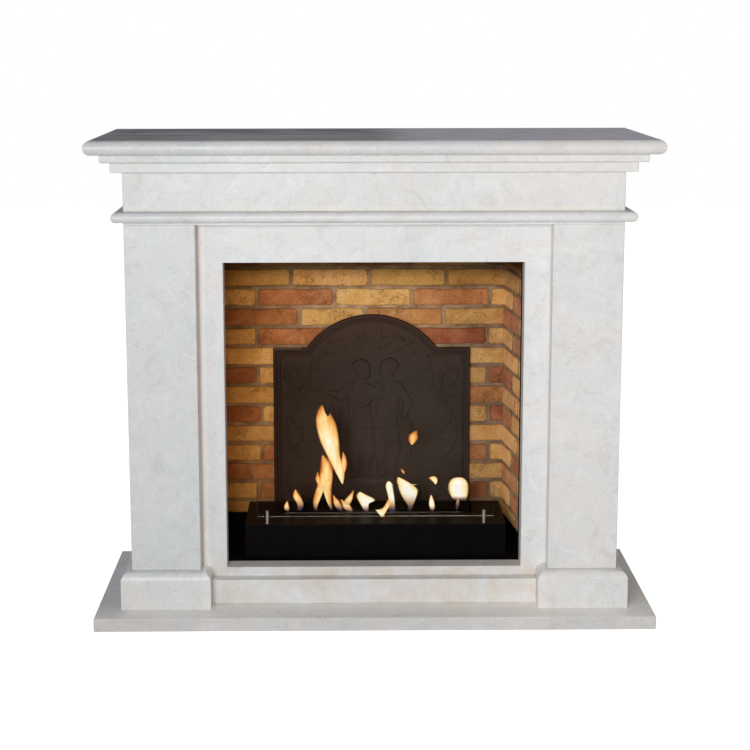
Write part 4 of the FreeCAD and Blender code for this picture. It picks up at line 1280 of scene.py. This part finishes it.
# %% Floor, light and world
FLOOR_HALF = 9.0
FLOOR_LIGHT = 0.86
AMBIENT = 0.30
BOX_SPOT = (-0.74, -3.95, 1.38)
BOX_AIM = (3.7, 0.0, 0.0)
BOX_SIZE = (2.0, 1.0)
BOX_POWER = 111
corners = [(-1, -1), (1, -1), (1, 1), (-1, 1)]
floor_mesh = bpy.data.meshes.new("studio_floor")
floor_mesh.from_pydata([(FLOOR_HALF * x, FLOOR_HALF * y, 0.0) for x, y in corners], [], [[0, 1, 2, 3]])
floor = bpy.data.objects.new("studio_floor", floor_mesh)
scene.collection.objects.link(floor)


def seen_straight(tree):
    """1 for rays that come from the camera, straight or through glass, and 0 for all other rays."""
    path = add_node(tree, "LightPath")
    return math_node(tree, "MAXIMUM", path.outputs["Is Camera Ray"], path.outputs["Is Transmission Ray"])


def split_by_ray(tree, lit, seen):
    """A shader that is lit for the scene and seen by the camera, each given as a node."""
    chosen = add_node(tree, "MixShader", Fac=seen_straight(tree))
    tree.links.new(lit.outputs[0], chosen.inputs[1])
    tree.links.new(seen.outputs[0], chosen.inputs[2])
    return chosen


def floor_finish():
    """Matt white floor that the camera sees a little brighter than the lamps make it."""
    net = Finish("studio_floor_white")
    net.set(Base_Color=(0.80, 0.80, 0.80), Roughness=1.0, Specular_IOR_Level=0.0)
    none = net.add("Emission", Strength=0.0)
    chosen = split_by_ray(net.tree, none, net.add("Emission", Strength=FLOOR_LIGHT))
    both = net.add("AddShader")
    net.tree.links.new(net.shader.outputs[0], both.inputs[0])
    net.tree.links.new(chosen.outputs[0], both.inputs[1])
    net.tree.links.new(both.outputs[0], net.tree.nodes["Material Output"].inputs["Surface"])
    return net


dress(floor_finish(), floor)

scene.world = bpy.data.worlds.new("studio_white")
scene.world.use_nodes = True
sky = scene.world.node_tree
soft = sky.nodes["Background"]
join(sky, (0.94, 0.96, 1.0), soft.inputs["Color"])
join(sky, AMBIENT, soft.inputs["Strength"])
white = add_node(sky, "Background", Color=(1.0, 1.0, 1.0), Strength=1.0)
sky_mix = split_by_ray(sky, soft, white)
sky.links.new(sky_mix.outputs[0], sky.nodes["World Output"].inputs["Surface"])


def soft_box(name, spot, aim, size, power):
    """Area lamp at a spot that faces a point."""
    lamp = bpy.data.lights.new(name, "AREA")
    lamp.shape = "RECTANGLE"
    lamp.size, lamp.size_y = size
    lamp.energy = power
    holder = bpy.data.objects.new(name, lamp)
    scene.collection.objects.link(holder)
    ahead = np.array(aim) - np.array(spot)
    ahead = ahead / np.linalg.norm(ahead)
    side = np.cross(ahead, (0, 0, 1))
    side = side / np.linalg.norm(side)
    turned = np.eye(4)
    turned[:3] = np.stack([side, np.cross(side, ahead), -ahead, spot], -1)
    holder.matrix_world = Matrix(turned.tolist())
    print(name, power, "W")


soft_box("front_soft_box", BOX_SPOT, BOX_AIM, BOX_SIZE, BOX_POWER)


# %% [markdown]
# The camera stands where the photographer stood: a little left of the middle, above the shelf, looking
# slightly down. Its shift keeps the uprights nearly parallel, the way a view camera does.

# %% Camera
CAM_SPOT = (-0.0687, -3.7348, 1.2945)
CAM_PITCH = 0.16846
CAM_YAW = -0.00889
CAM_ROLL = -0.00178
CAM_SHIFT = (0.02338, -0.07731)
FOCAL_PX = 1661.8
IMAGE_PX = 750
SENSOR_MM = 36.0
camera = bpy.data.objects.new("camera", bpy.data.cameras.new("camera"))
scene.collection.objects.link(camera)
camera.data.sensor_fit = "HORIZONTAL"
camera.data.sensor_width = SENSOR_MM
camera.data.lens = FOCAL_PX / IMAGE_PX * SENSOR_MM
camera.data.shift_x, camera.data.shift_y = CAM_SHIFT
camera.data.clip_end = 60.0
turn_side = Matrix.Rotation(CAM_YAW, 4, "Z")
turn_down = Matrix.Rotation(math.pi / 2 - CAM_PITCH, 4, "X")
turn_level = Matrix.Rotation(CAM_ROLL, 4, "Z")
camera.matrix_world = Matrix.Translation(CAM_SPOT) @ turn_side @ turn_down @ turn_level
scene.camera = camera
scene.view_settings.view_transform = "Standard"
print("lens", camera.data.lens)
